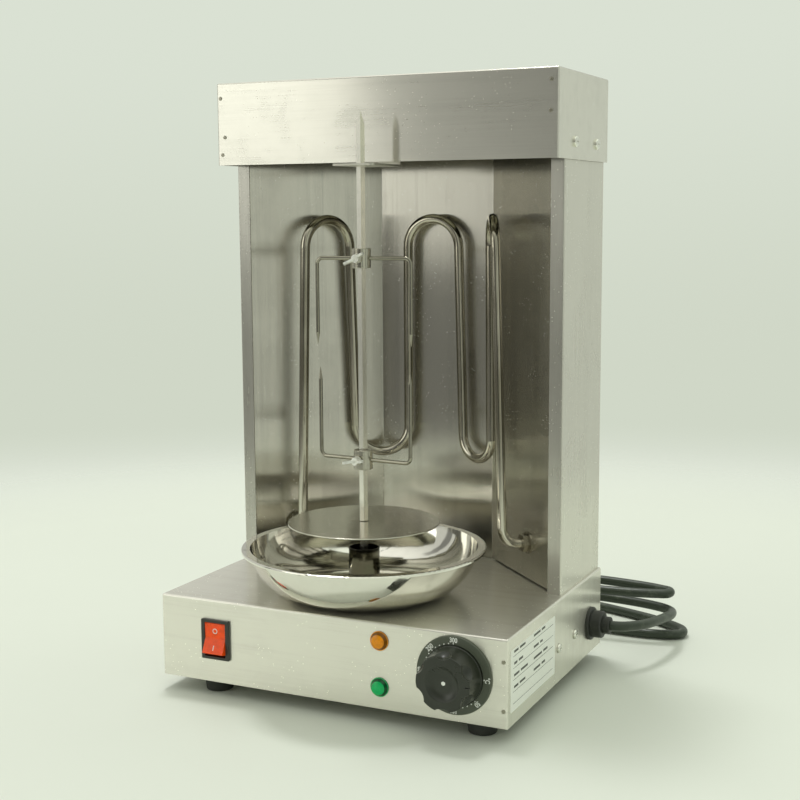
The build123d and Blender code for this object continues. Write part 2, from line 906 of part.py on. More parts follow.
def switch_body():
    """Bezel, snap-in case and the two-sided pocket in which the rocker swings."""
    bezel = Pos(0, 0, bezel_depth / 2) * Box(bezel_width, bezel_height, bezel_depth)
    bezel = fillet(bezel.edges().filter_by(Axis.Z), 0.9)
    bezel = fillet(bezel.faces().sort_by(Axis.Z)[-1].edges(), 0.5)
    case = Pos(0, 0, -switch_case[2] / 2) * Box(*switch_case)
    pocket = Pos(0, 0, bezel_depth + 6 - switch_pocket[2] / 2) * Box(*switch_pocket)
    body = bezel + case - pocket
    hinge = Cylinder(rocker_pin_radius + running_gap, switch_case[0] - 1)
    body -= Pos(0, 0, -rocker_pivot) * Rot(0, 90, 0) * hinge
    for side in (-1, 1):
        for up in (-1, 1):
            body += Pos(side * 6, up * 7, -22.0) * Box(0.8, 6.3, 8.0)
    return on_front(switch_x, control_middle) * body


def switch_rocker():
    """The rocker swings about pins in its sides; its lower edge stands out at rest."""
    front = 4.5
    edge = 7.5
    half = 12.0
    back = -8.0
    outline = Polyline(
        (-half, edge), (0, front), (half, edge), (half, 0), (half / 2, back), (-half / 2, back),
        (-half, 0), close=True
    )
    face = Plane(origin=(0, 0, 0), x_dir=(0, 1, 0), z_dir=(1, 0, 0)) * make_face(outline)
    body = extrude(face, rocker_width / 2, both=True)
    body = fillet(body.edges().filter_by(Axis.X).sort_by(Axis.Z)[-3:], 1.0)
    body += Rot(0, 90, 0) * Cylinder(rocker_pin_radius, switch_case[0] - 1.6)
    place = on_front(switch_x, control_middle)
    return place * Pos(0, 0, -rocker_pivot) * Rot(-rocker_tilt, 0, 0) * body


def lamp(height):
    """An indicator lamp: tapered lens on a flange, barrel behind the panel and two pins."""
    upwards = (Align.CENTER, Align.CENTER, Align.MIN)
    flange = Cylinder(lamp_flange_radius, lamp_flange_height, align=upwards)
    taper = lamp_lens_height - lamp_flange_height
    lens = Cone(lamp_flange_radius - 0.5, lamp_lens_radius, taper, align=upwards)
    sink = math.sqrt(lamp_dome_radius**2 - lamp_lens_radius**2)
    dome = Pos(0, 0, lamp_lens_height - sink) * Sphere(lamp_dome_radius)
    dome &= Pos(0, 0, lamp_lens_height) * Cylinder(lamp_lens_radius, 6, align=upwards)
    barrel = Cylinder(lamp_barrel_radius, lamp_barrel_length,
                      align=(Align.CENTER, Align.CENTER, Align.MAX))
    body = flange + Pos(0, 0, lamp_flange_height) * lens + dome + barrel
    for x in (-2, 2):
        body += Pos(x, 0, -22.5) * Box(0.6, 2.4, 6.0)
    return on_front(lamp_x, height) * body


def lamp_nuts():
    nuts = []
    for height in lamp_heights.values():
        point = (lamp_x, front_y + sheet, height)
        nuts.append(hexagon(point, (0, 1, 0), 14.0, 3.0, lamp_barrel_radius))
    return group(nuts)


def dial_ring():
    plate = Cylinder(dial_radius, 2.0, align=(Align.CENTER, Align.CENTER, Align.MIN))
    plate = fillet(plate.edges().sort_by(Axis.Z)[-1], 0.8)
    plate -= Pos(0, 0, 1.0) * Cylinder(22.8, 3, align=(Align.CENTER, Align.CENTER, Align.MIN))
    plate -= Cylinder(5.0, 10)
    for side in (-1, 1):
        plate -= Pos(side * 14, 0, 0) * Cylinder(2.0, 10)
    return on_front(dial_x, control_middle) * plate


def knob():
    """Turned body with a skirt, finger scallops round the front and a dished face."""
    depth = knob_depth
    skirt = knob_radius + 0.4
    bore = 13.0
    brim = depth + 0.6
    floor = (knob_dish_floor, brim - knob_dish_depth)
    rim = (knob_dish_radius, brim)
    section = make_face(
        [
            Polyline((0, floor[1]), (0, bore), (spindle_radius, bore), (spindle_radius, 1.4),
                     (skirt, 1.4), (skirt, 4.0), (knob_radius, 4.4), (knob_radius - 1.4, depth),
                     rim),
            TangentArc(floor, rim, tangent=(1, 0)),
            Line(floor, (0, floor[1])),
        ]
    )
    body = revolve(Plane.XZ * section, Axis.Z)
    rims = body.edges().filter_by(GeomType.CIRCLE)
    front = rims.filter_by(lambda e: e.center().Z > depth - 0.5 and e.radius > knob_dish_floor + 1)
    body = fillet(front, 1.0)
    for index in range(knob_scallops):
        angle = math.radians(90 + index * 360 / knob_scallops)
        spot = Pos(scallop_out * math.cos(angle), scallop_out * math.sin(angle), depth - 1.0)
        body -= spot * Sphere(scallop_radius)
    body -= Pos(knob_radius - 2.4, 0, depth - 0.2) * Box(5.0, 0.9, 1.4)
    return on_front(dial_x, control_middle) * body


def thermostat_spindle():
    return rod((dial_x, front_y - 13.0, control_middle), (0, 1, 0), spindle_radius, 18.0)


def thermostat():
    """The thermostat: case, mounting plate, nose through the panel and four terminals."""
    front = front_y + sheet
    case_front = front + 1.5
    case_back = case_front + 30
    body = block(
        (dial_x - 18, case_front, control_middle - 17),
        (dial_x + 18, case_back, control_middle + 17),
    )
    body = fillet(body.edges().filter_by(Axis.Y), 3.0)
    body += block(
        (dial_x - 18, front, control_middle - 9), (dial_x + 18, case_front, control_middle + 9)
    )
    body += rod((dial_x, front_y - 1.2, control_middle), (0, 1, 0), 5.0, 4.0)
    for x in (-9, 9):
        for z in (-10, 10):
            body += block(
                (dial_x + x - 3, case_back - 1, control_middle + z - 0.4),
                (dial_x + x + 3, case_back + 7, control_middle + z + 0.4),
            )
    for side in (-1, 1):
        body -= rod((dial_x + side * 14, front_y - 2, control_middle), (0, 1, 0), 2.0, 11.5)
    bore = spindle_radius + running_gap
    return body - rod((dial_x, front_y - 3, control_middle), (0, 1, 0), bore, 8.5)


def thermostat_screws():
    """Flat-head screws that hold the dial ring, the front panel and the thermostat together."""
    screws = []
    for side in (-1, 1):
        point = (dial_x + side * 14, front_y - 1.25, control_middle)
        head = rod(point, (0, 1, 0), 2.0, 9.0)
        screws.append(head)
    return group(screws)


def thermostat_bulb():
    """The sensing bulb behind the right wing, with its capillary down to the thermostat."""
    x, y = grommet_places()[1]
    start = (dial_x, front_y + sheet + 1.5 + 30, control_middle + 6)
    bulb_x, bulb_y = 97.0, 70.0
    points = [
        start, (dial_x - 12, front_y + 62, 44), (100, 50, 55), (126, 66, 52), (x + 2, y - 1.5, 59),
        (x + 1.5, y - 1.5, 66), (x, y - 2, 80), (bulb_x + 4, bulb_y + 1, 120), (bulb_x, bulb_y, 150),
    ]
    tube = smooth_tube(smooth_path(points, (0, 1, 0), (0, 0, 1)), 0.8)
    bulb = upright(bulb_x, bulb_y, 150, 215, 3.0)
    return tube + fillet(bulb.edges(), 1.2)


# Mains side

def terminal_block():
    x = side_x - sheet
    body = block((x - 18, -6, 20), (x, 45, 34))
    for y in side_screw_ys():
        body -= rod((x - 8, y, 27.0), (1, 0, 0), 1.75, 10)
    for index in range(3):
        body -= upright(x - 9, 9.0 + index * 10.5, 28, 36, 2.6)
    return body


def side_screws():
    return group(
        pan_screw((side_x, y, 27.0), (-1, 0, 0), 1.75, 8.0, 3.6) for y in side_screw_ys()
    )


def rating_plate():
    """A blank metal label on the base's right side."""
    plate = block((side_x, -104.0, 10.0), (side_x + 0.3, -9.5, 55.5))
    return fillet(plate.edges().filter_by(Axis.X), 1.5)


def cable_gland():
    along = (1, 0, 0)
    start = (side_x, gland_y, gland_z)
    flange = rod(start, along, 13.5, 3.0)
    flange = fillet(flange.edges().sort_by(Axis.X)[-1], 1.0)
    body = rod((side_x + 3.0, gland_y, gland_z), along, 11.0, 9.0)
    body = fillet(body.edges().sort_by(Axis.X)[-1], 1.6)
    nose = rod((side_x + 12.0, gland_y, gland_z), along, 7.0, 6.0)
    nose = fillet(nose.edges().sort_by(Axis.X)[-1], 1.2)
    barrel = rod((side_x - 9.0, gland_y, gland_z), along, 8.0, 9.0)
    whole = flange + body + nose + barrel
    return whole - rod((side_x - 10.0, gland_y, gland_z), along, cable_radius, 40)


def lead_grommets():
    """Bushings where the heater leads leave the base."""
    rings = []
    for x, y in grommet_places():
        body = ring(x, y, base_inner_top - 1.5, base_height + 2.5, grommet_radius, 4.5)
        body += ring(x, y, base_height, base_height + 2.5, grommet_radius + 2.0, 4.5)
        rings.append(body)
    return group(rings)


def heater_leads():
    """Insulated leads from the heater's pins down into the base."""
    leads = []
    for side, (x, y) in zip((-1, 1), grommet_places()):
        end = wing_distance(side) + terminal_reach + 12.0
        pin = terminal_point(side, end)
        _, direction = terminal_axis(side)
        away = tuple(p + 3 * d for p, d in zip(pin, direction))
        points = [
            pin, away, (x - side * 1.5, y + 1, 80), (x - side * 1.5, y + 1, 62),
            (side * 105, 60, 30), (side * 96, 30, 24), (side * 88, 0, 20),
        ]
        path = smooth_path(points, direction, (-side * 0.3, -1, -0.1))
        leads.append(smooth_tube(path, 1.4))
    return group(leads)


# Each turn of the coiled cable: middle X and Y, half length, half width, slant and height.
cable_turns = (
    (95.0, 164.0, 97.0, 24.0, 0.0, 16.5),
    (92.0, 176.0, 95.0, 17.0, 0.0, 30.5),
    (88.0, 188.0, 108.0, 30.0, 22.0, table_z + cable_radius + 0.3),
)
cable_step = 30
cable_last_angle = 810
plug_end = (-58.0, 226.0, table_z + 7.5 + 0.3)


def cable_turn(angle):
    """A turn's measures at an angle; each turn passes into the next round the coil's far end."""
    blend_half = 80
    values = list(cable_turns[0])
    for i in (1, 2):
        middle = 360 * i - 180
        share = min(max((angle - middle + blend_half) / (2 * blend_half), 0), 1)
        share = share * share * (3 - 2 * share)
        values = [v + (w - v) * share for v, w in zip(values, cable_turns[i])]
    return values


def cable_path():
    """From the gland, round the flat coil behind the base, to the plug."""
    points = [
        (side_x + 18.5, gland_y, gland_z),
        (side_x + 36.0, gland_y + 16, gland_z - 2),
        (side_x + 46.0, gland_y + 50, gland_z - 5),
    ]
    for angle in range(0, cable_last_angle + 1, cable_step):
        x, y, length, width, slant, height = cable_turn(angle)
        turn = math.radians(angle)
        back = width * math.sin(turn) + slant * (1 - math.cos(turn))
        points.append((x + length * math.cos(turn), y + back, height))
    points.append((20.0, 236.0, cable_turns[-1][-1] + 0.8))
    return smooth_path([*points, plug_end], (1, 0, 0), (-1, 0, 0))


def power_cable():
    inside = rod((side_x - 14.0, gland_y, gland_z), (1, 0, 0), cable_radius, 32.5)
    return inside + smooth_tube(cable_path(), cable_radius)


def plug_place():
    return Plane(origin=plug_end, x_dir=(0, 1, 0), z_dir=(-1, 0, 0)).location


def power_plug():
    """A plain moulded two-pin plug."""
    neck = Cone(5.0, 7.0, 12.0, align=(Align.CENTER, Align.CENTER, Align.MIN))
    body = Pos(0, 0, 12.0 + 14.0) * Box(33.0, 15.0, 28.0)
    body = fillet(body.edges(), 4.0)
    return plug_place() * (neck + body)


def plug_pins():
    pins = []
    for side in (-1, 1):
        pin = Cylinder(2.4, 19.0, align=(Align.CENTER, Align.CENTER, Align.MIN))
        pin = fillet(pin.edges().sort_by(Axis.Z)[-1], 1.0)
        pins.append(plug_place() * Pos(side * 9.5, 0, 40.0) * pin)
    return group(pins)


upper_fork = (upper_fork_height, upper_fork_arms, upper_fork_turn, upper_fork_drop)
lower_fork = (lower_fork_height, lower_fork_arms, lower_fork_turn, lower_fork_rise)

nodes = {
    "base_housing": base_housing,
    "base_bottom_plate": base_bottom_plate,
    "bottom_plate_screws": bottom_plate_screws,
    "rubber_feet": rubber_feet,
    "foot_screws": foot_screws,
    "panel_rivets": panel_rivets,
    "column_shell": column_shell,
    "column_screws": column_screws,
    "reflector": reflector,
    "hood_shell": hood_shell,
    "hood_screws": hood_screws,
    "spit_bracket": spit_bracket,
    "heater_tube": heater_tube,
    "heater_bushes": heater_bushes,
    "heater_fixings": heater_fixings,
    "heater_terminals": heater_terminals,
    "heater_leads": heater_leads,
    "lead_grommets": lead_grommets,
    "spit": spit,
    "disc_stop": disc_stop,
    "meat_disc": meat_disc,
    "upper_fork_collar": lambda: fork_collar(*upper_fork),
    "upper_fork_prongs": lambda: fork_wires(*upper_fork),
    "upper_thumb_screw": lambda: thumb_screw(upper_fork_height, upper_fork_turn, 28),
    "lower_fork_collar": lambda: fork_collar(*lower_fork),
    "lower_fork_prongs": lambda: fork_wires(*lower_fork),
    "lower_thumb_screw": lambda: thumb_screw(lower_fork_height, lower_fork_turn, 8),
    "drip_bowl": drip_bowl,
    "bowl_sleeve": bowl_sleeve,
    "drive_socket": drive_socket,
    "socket_screw": socket_screw,
    "drive_bush": drive_bush,
    "output_shaft": output_shaft,
    "output_gear": output_gear,
    "rotor_pinion": rotor_pinion,
    "rotor_shaft": rotor_shaft,
    "rotor_magnet": rotor_magnet,
    "stator_coil": stator_coil,
    "bearing_plate": bearing_plate,
    "motor_can": motor_can,
    "gearbox_cover": gearbox_cover,
    "motor_mounting": motor_mounting,
    "switch_body": switch_body,
    "switch_rocker": switch_rocker,
    "amber_lamp": lambda: lamp(lamp_heights["amber"]),
    "green_lamp": lambda: lamp(lamp_heights["green"]),
    "lamp_nuts": lamp_nuts,
    "dial_ring": dial_ring,
    "knob": knob,
    "thermostat": thermostat,
    "thermostat_spindle": thermostat_spindle,
    "thermostat_screws": thermostat_screws,
    "thermostat_bulb": thermostat_bulb,
    "terminal_block": terminal_block,
    "side_screws": side_screws,
    "rating_plate": rating_plate,
    "cable_gland": cable_gland,
    "power_cable": power_cable,
    "power_plug": power_plug,
    "plug_pins": plug_pins,
}

if __name__ == "__main__":
    os.makedirs("parts", exist_ok=True)
    for name, make in nodes.items():
        export_step(make(), f"parts/{name}.step")
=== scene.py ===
import bpy
import math
from mathutils import Matrix, Vector


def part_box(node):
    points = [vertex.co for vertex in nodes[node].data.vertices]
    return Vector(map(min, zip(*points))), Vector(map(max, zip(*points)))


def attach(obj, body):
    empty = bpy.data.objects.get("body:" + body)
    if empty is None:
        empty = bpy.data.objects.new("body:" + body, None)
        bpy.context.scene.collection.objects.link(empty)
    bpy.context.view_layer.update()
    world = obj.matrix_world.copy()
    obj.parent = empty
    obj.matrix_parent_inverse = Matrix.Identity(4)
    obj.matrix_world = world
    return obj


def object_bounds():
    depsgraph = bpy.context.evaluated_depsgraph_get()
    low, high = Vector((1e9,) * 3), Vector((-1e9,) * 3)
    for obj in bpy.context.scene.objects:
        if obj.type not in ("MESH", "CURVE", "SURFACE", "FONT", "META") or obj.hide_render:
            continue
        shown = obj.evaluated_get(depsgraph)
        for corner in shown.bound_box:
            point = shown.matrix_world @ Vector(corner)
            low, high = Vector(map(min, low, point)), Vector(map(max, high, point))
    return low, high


# Looks for the countertop vertical broiler. Metres, +X right, +Y back, +Z up, as in the frame.

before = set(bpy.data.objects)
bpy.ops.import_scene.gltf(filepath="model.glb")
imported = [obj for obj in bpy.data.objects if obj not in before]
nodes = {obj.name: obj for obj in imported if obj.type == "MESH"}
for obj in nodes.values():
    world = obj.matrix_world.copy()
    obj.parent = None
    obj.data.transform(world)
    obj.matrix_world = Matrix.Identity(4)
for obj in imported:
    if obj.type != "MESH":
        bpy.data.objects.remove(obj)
cad_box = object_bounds()
MM = 0.001


# Expressions that build shader nodes

class Value:
    """A shader socket that can be used in arithmetic."""

    def __init__(self, graph, socket):
        self.graph = graph
        self.socket = socket

    def math(self, operation, *others):
        node = self.graph.add("Math", operation=operation)
        for socket, value in zip(node.inputs, (self, *others)):
            self.graph.put(socket, value)
        return Value(self.graph, node.outputs[0])

    def __add__(self, other):
        return self.math("ADD", other)

    def __sub__(self, other):
        return self.math("SUBTRACT", other)

    def __mul__(self, other):
        return self.math("MULTIPLY", other)

    def __rsub__(self, other):
        return (self * -1.0) + other

    __radd__ = __add__
    __rmul__ = __mul__

    def abs(self):
        return self.math("ABSOLUTE")

    def at_most(self, other):
        return self.math("MINIMUM", other)

    def at_least(self, other):
        return self.math("MAXIMUM", other)

    def power(self, other):
        return self.math("POWER", other)

    def smooth(self, low, high):
        """0 below low, 1 above high, and a smooth step between them."""
        node = self.graph.add("MapRange", interpolation_type="SMOOTHSTEP")
        for name, value in (("Value", self), ("From Min", low), ("From Max", high)):
            self.graph.put(node.inputs[name], value)
        return Value(self.graph, node.outputs[0])

    def window(self, low, high, soft):
        """1 between low and high, with soft edges."""
        return self.smooth(low - soft, low + soft) * (1 - self.smooth(high - soft, high + soft))


class Graph:
    """A material's or world's node tree."""

    def __init__(self, owner):
        owner.use_nodes = True
        self.tree = owner.node_tree
        self.tree.nodes.clear()

    def add(self, kind, **settings):
        node = self.tree.nodes.new("ShaderNode" + kind)
        for name, value in settings.items():
            setattr(node, name, value)
        return node

    def put(self, socket, value):
        if isinstance(value, Value):
            self.tree.links.new(value.socket, socket)
        elif isinstance(value, bpy.types.NodeSocket):
            self.tree.links.new(value, socket)
        else:
            socket.default_value = (*value, 1.0) if socket.type == "RGBA" and len(value) == 3 else value

    def shader(self, kind, **inputs):
        node = self.add(kind)
        for name, value in inputs.items():
            self.put(node.inputs[name.replace("_", " ")], value)
        return node.outputs[0]

    def axes(self, vector):
        node = self.add("SeparateXYZ")
        self.put(node.inputs[0], vector)
        return [Value(self, socket) for socket in node.outputs]

    def join(self, x, y, z):
        node = self.add("CombineXYZ")
        for socket, value in zip(node.inputs, (x, y, z)):
            self.put(socket, value)
        return node.outputs[0]

    def place(self):
        return self.add("TexCoord").outputs["Object"]

    def normal(self):
        return self.add("NewGeometry").outputs["True Normal"]

    def scaled(self, vector, scale, offset=(0, 0, 0)):
        node = self.add("Mapping")
        self.put(node.inputs["Vector"], vector)
        node.inputs["Scale"].default_value = scale
        node.inputs["Location"].default_value = offset
        return node.outputs[0]

    def noise(self, scale, detail=2.0, roughness=0.5, offset=0.0, vector=None, distortion=0.0):
        """Noise with one scale per axis, in cycles per metre, that averages 0.5."""
        scale = scale if isinstance(scale, tuple) else (scale,) * 3
        node = self.add("TexNoise")
        source = self.scaled(vector or self.place(), scale, (offset,) * 3)
        self.put(node.inputs["Vector"], source)
        node.inputs["Scale"].default_value = 1.0
        node.inputs["Detail"].default_value = detail
        node.inputs["Roughness"].default_value = roughness
        node.inputs["Distortion"].default_value = distortion
        return Value(self, node.outputs[0])

    def cells(self, scale, offset=0.0):
        """Distance to the nearest of a field of scattered points, in cells."""
        node = self.add("TexVoronoi")
        self.put(node.inputs["Vector"], self.scaled(self.place(), (scale,) * 3, (offset,) * 3))
        node.inputs["Scale"].default_value = 1.0
        return Value(self, node.outputs[0])

    def mix(self, share, a, b):
        node = self.add("Mix", data_type="RGBA")
        self.put(node.inputs["Factor"], share)
        self.put(node.inputs[6], a)
        self.put(node.inputs[7], b)
        return node.outputs[2]

    def blend(self, share, a, b):
        node = self.add("MixShader")
        for socket, value in zip(node.inputs, (share, a, b)):
            self.put(socket, value)
        return node.outputs[0]

    def bump(self, height, distance, strength=1.0, normal=None):
        node = self.add("Bump")
        self.put(node.inputs["Height"], height)
        node.inputs["Distance"].default_value = distance
        node.inputs["Strength"].default_value = strength
        if normal:
            self.put(node.inputs["Normal"], normal)
        return node.outputs[0]

    def edges(self, radius):
        """1 close to an outside edge, 0 away from it."""
        bevel = self.add("Bevel", samples=4)
        bevel.inputs["Radius"].default_value = radius
        dot = self.add("VectorMath", operation="DOT_PRODUCT")
        self.put(dot.inputs[0], bevel.outputs[0])
        self.put(dot.inputs[1], self.normal())
        return 1 - Value(self, dot.outputs["Value"])

    def principled(self, **inputs):
        return self.shader("BsdfPrincipled", **inputs)

    def finish(self, surface):
        kind = "OutputWorld" if isinstance(self.tree.id_data, bpy.types.World) else "OutputMaterial"
        self.put(self.add(kind).inputs["Surface"], surface)


def material(name):
    made = bpy.data.materials.new(name)
    return made, Graph(made)


def srgb(red, green, blue):
    """A colour given as it looks on screen, 0 to 255."""
    return tuple((c / 255 / 12.92 if c < 11 else ((c / 255 + 0.055) / 1.055) ** 2.4)
                 for c in (red, green, blue))


# Colours that several finishes share

DUST = srgb(232, 231, 222)
# Paler colours for edges: partly wear, partly painted highlight.
WORN_AND_LIT_STEEL = srgb(240, 238, 228)
WORN_AND_LIT_CASTING = srgb(240, 240, 232)
WATER_MARK = srgb(150, 147, 132)
DULL_SPOT = srgb(84, 78, 64)


# Metals

# How much finer noise is across the grain than along it, for each direction of the grain.
GRAIN = {"X": (0.02, 1, 1), "Y": (1, 0.02, 1), "Z": (1, 1, 0.02)}


def streaks(g, grain, fineness, offset=0.0):
    """Brush marks that run along one axis."""
    scale = tuple(fineness * share for share in GRAIN[grain])
    return g.noise(scale, detail=3.0, roughness=0.6, offset=offset)


def across(g, grain):
    """The direction in which a surface brushed along an axis spreads its reflections."""
    x, y, z = (v.abs() for v in g.axes(g.normal()))
    if grain == "X":
        upright = 1 - z.smooth(0.5, 0.6)
        return g.join(0.0, 1 - upright, upright)
    cross = g.add("VectorMath", operation="CROSS_PRODUCT")
    cross.inputs[0].default_value = (0, 0, 1)
    g.put(cross.inputs[1], g.normal())
    flat = z.smooth(0.5, 0.6)
    total = g.add("VectorMath", operation="ADD")
    g.put(total.inputs[0], cross.outputs[0])
    g.put(total.inputs[1], g.join(flat, 0.0, 0.0))
    return total.outputs[0]


def brushed_steel(name, grain, colour, roughness, spread=0.75, side_grain=None, waves=0.0, stain=0.05,
                  glow=0.0, dusty=0.4, bands=0.10, front=0.0):
    """Brushed stainless sheet: streaks along the grain, faint stains, dust, and bright edges that are
    partly wear and partly painted highlight.

    spread is the anisotropy, side_grain the grain of what faces left or right, waves the sheet's unevenness
    in millimetres, glow the share of a second and duller reflection, dusty the dust's strength, bands the
    strength of wide streaks, and front the strength of painted shade on what faces the front or the back.
    """
    made, g = material(name)

    def brush(axis):
        return streaks(g, axis, 1100.0) * 0.55 + streaks(g, axis, 300.0, 3.0) * 0.45

    marks = brush(grain)
    tangent = across(g, grain)
    if side_grain:
        side = g.axes(g.normal())[0].abs().smooth(0.6, 0.7)
        marks = marks * (1 - side) + brush(side_grain) * side
        tangent = g.mix(side, tangent, across(g, side_grain))
    stains = g.noise(24.0, detail=4.0, roughness=0.65, distortion=0.6)
    clouds = g.noise(7.0, detail=2.0, offset=5.0)
    wide = streaks(g, grain, 90.0, 11.0)
    dust = 1 - g.cells(330.0).smooth(0.07, 0.13)
    dust = dust * g.noise(34.0, offset=9.0).smooth(0.46, 0.60)
    wiped = g.noise(11.0, detail=5.0, roughness=0.7, offset=14.0, distortion=1.2).smooth(0.52, 0.66)
    shade = 1.0 - stain * 2 * (stains - 0.5).abs() - (marks - 0.5) * 0.26 + (clouds - 0.5) * 0.10
    shade = shade + (wide - 0.5) * bands - wiped * stain * 0.4
    # Painted shade: what faces the front or the back is darkened by front.
    if front:
        shade = shade - g.axes(g.normal())[1].abs().smooth(0.8, 0.95) * front
    base = g.mix(shade.at_most(1.0), (0, 0, 0), colour)
    base = g.mix(dust * dusty, base, DUST)
    rough = (marks - 0.5) * 0.07 + (stains - 0.5) * 0.06 + roughness + dust * 0.2 + wiped * 0.015
    # Edges are lightened: partly wear, partly a painted highlight.
    worn_and_lit_edge = g.edges(0.8 * MM).smooth(0.03, 0.25)
    base = g.mix(worn_and_lit_edge * 0.5, base, WORN_AND_LIT_STEEL)
    normal = g.bump(marks, 0.003 * MM, 0.2)
    if waves:
        normal = g.bump(g.noise(9.0, detail=1.0, offset=2.0), waves * MM, 1.0, normal)
    surface = g.principled(
        Base_Color=base, Metallic=1.0, Roughness=rough, Anisotropic=spread, Tangent=tangent,
        Normal=normal,
    )
    if glow:
        broad = g.principled(Base_Color=base, Metallic=1.0, Roughness=rough + 0.38, Normal=normal)
        surface = g.blend(glow, surface, broad)
    g.finish(surface)
    return made


def polished_steel(name, colour, roughness, scratch=0.25):
    """Mirror-polished steel with fine wiping scratches and water marks."""
    made, g = material(name)
    marks = g.noise((90.0, 90.0, 420.0), detail=4.0, roughness=0.7)
    hair = g.noise((60.0, 1400.0, 900.0), detail=2.0, offset=4.0)
    spots = g.noise(60.0, detail=3.0, offset=7.0).smooth(0.62, 0.75)
    rough = (marks - 0.5) * 0.08 + roughness + spots * 0.10
    base = g.mix((marks - 0.5).abs() * 0.5 + spots * 0.25, colour, WATER_MARK)
    normal = g.bump(hair, 0.006 * MM, scratch)
    g.finish(g.principled(Base_Color=base, Metallic=1.0, Roughness=rough.at_least(0.03), Normal=normal))
    return made


def spun_steel(name, colour, roughness):
    """Steel spun on a lathe: hair-fine rings round the spit's axis spread reflections outwards."""
    made, g = material(name)
    low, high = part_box("drip_bowl")
    middle = (low + high) / 2
    x, y, z = g.axes(g.place())
    out_x, out_y = x - middle.x, y - middle.y
    out = (out_x * out_x + out_y * out_y).power(0.5)
    rings = g.noise(1.0, detail=2.0, vector=g.join(out * 2600.0, z * 2600.0, 0.0))
    round_way = g.join(out_y * -1.0, out_x, 0.0)
    over = g.add("VectorMath", operation="CROSS_PRODUCT")
    g.put(over.inputs[0], round_way)
    g.put(over.inputs[1], g.normal())
    spots = g.noise(60.0, detail=3.0, offset=7.0).smooth(0.60, 0.74)
    wiped = g.noise(26.0, detail=4.0, roughness=0.7, offset=2.0)
    base = g.mix(spots * 0.25 + (wiped - 0.5).abs() * 0.4, colour, WATER_MARK)
    rough = (rings - 0.5) * 0.06 + (wiped - 0.5) * 0.08 + roughness + spots * 0.08
    g.finish(g.principled(
        Base_Color=base, Metallic=1.0, Roughness=rough.at_least(0.03), Anisotropic=0.7,
        Tangent=over.outputs[0], Normal=g.bump(rings, 0.004 * MM, 0.4),
    ))
    return made


def drawn_steel(name, colour, roughness, grain="Z", stain=0.4):
    """Bar, wire and tube: fine marks along the length and patchy dull spots."""
    made, g = material(name)
    marks = streaks(g, grain, 1500.0)
    patches = g.noise(90.0, detail=4.0, roughness=0.7, offset=3.0)
    base = g.mix(patches.smooth(0.48, 0.75) * stain, colour, DULL_SPOT)
    rough = (patches - 0.5) * 0.12 + (marks - 0.5) * 0.10 + roughness
    g.finish(g.principled(
        Base_Color=base, Metallic=1.0, Roughness=rough.at_least(0.05),
        Normal=g.bump(marks, 0.02 * MM, 0.5),
    ))
    return made


def heater_sheath():
    """Polished sheath, browned by heat, with slow colour bands along the tube."""
    made, g = material("heater_sheath")
    height = g.axes(g.place())[2]
    bands = g.noise((30.0, 30.0, 14.0), detail=3.0, offset=1.0)
    fine = g.noise((900.0, 900.0, 60.0), detail=2.0)
    hot = height.smooth(0.11, 0.20)
    colour = g.mix(bands.smooth(0.4, 0.65), srgb(182, 177, 161), srgb(150, 145, 128))
    colour = g.mix(hot, srgb(204, 200, 186), colour)
    rough = (bands - 0.5) * 0.1 + (fine - 0.5) * 0.06 + 0.13
    g.finish(g.principled(
        Base_Color=colour, Metallic=1.0, Roughness=rough, Normal=g.bump(fine, 0.02 * MM, 0.4),
    ))
    return made


def cast_metal(name, colour, roughness=0.38, grain=420.0):
    """Die-cast or plated metal with a fine pebbled skin and bright edges that are partly wear and partly
    painted highlight.
    """
    made, g = material(name)
    skin = g.noise(grain, detail=4.0, roughness=0.7)
    # Edges are lightened: partly wear, partly a painted highlight.
    worn_and_lit_edge = g.edges(0.5 * MM).smooth(0.02, 0.2)
    base = g.mix(skin.smooth(0.35, 0.75) * 0.35, colour, tuple(0.55 * c for c in colour))
    base = g.mix(worn_and_lit_edge * 0.5, base, WORN_AND_LIT_CASTING)
    g.finish(g.principled(
        Base_Color=base, Metallic=1.0, Roughness=(skin - 0.5) * 0.3 + roughness,
        Normal=g.bump(skin, 0.06 * MM, 0.6),
    ))
    return made


# Plastics, rubber and ceramics

def moulded_plastic(name, colour, roughness=0.42, grain=1500.0, grain_depth=0.02, dust=0.3, coat=0.0):
    """Moulded plastic: sparked texture, paler edges that are partly wear and partly painted highlight, and
    a little dust in its pores.
    """
    made, g = material(name)
    pores = g.noise(grain, detail=2.0)
    smears = g.noise(55.0, detail=4.0, roughness=0.7, offset=6.0)
    specks = 1 - g.cells(420.0, 2.0).smooth(0.06, 0.13)
    specks = specks * g.noise(70.0, offset=3.0).smooth(0.54, 0.62)
    # Edges are lightened: partly wear, partly a painted highlight.
    worn_and_lit_edge = g.edges(0.6 * MM).smooth(0.03, 0.25)
    pale = tuple(0.6 * c + 0.14 for c in colour)
    base = g.mix(smears.smooth(0.45, 0.8) * 0.35, colour, tuple(0.8 * c + 0.03 for c in colour))
    base = g.mix((worn_and_lit_edge * 0.45 + specks * dust).at_most(1.0), base, pale)
    g.finish(g.principled(
        Base_Color=base, Roughness=(smears - 0.5) * 0.25 + roughness + specks * 0.2,
        Normal=g.bump(pores, grain_depth * MM, 0.7), Coat_Weight=coat, Coat_Roughness=0.08,
    ))
    return made


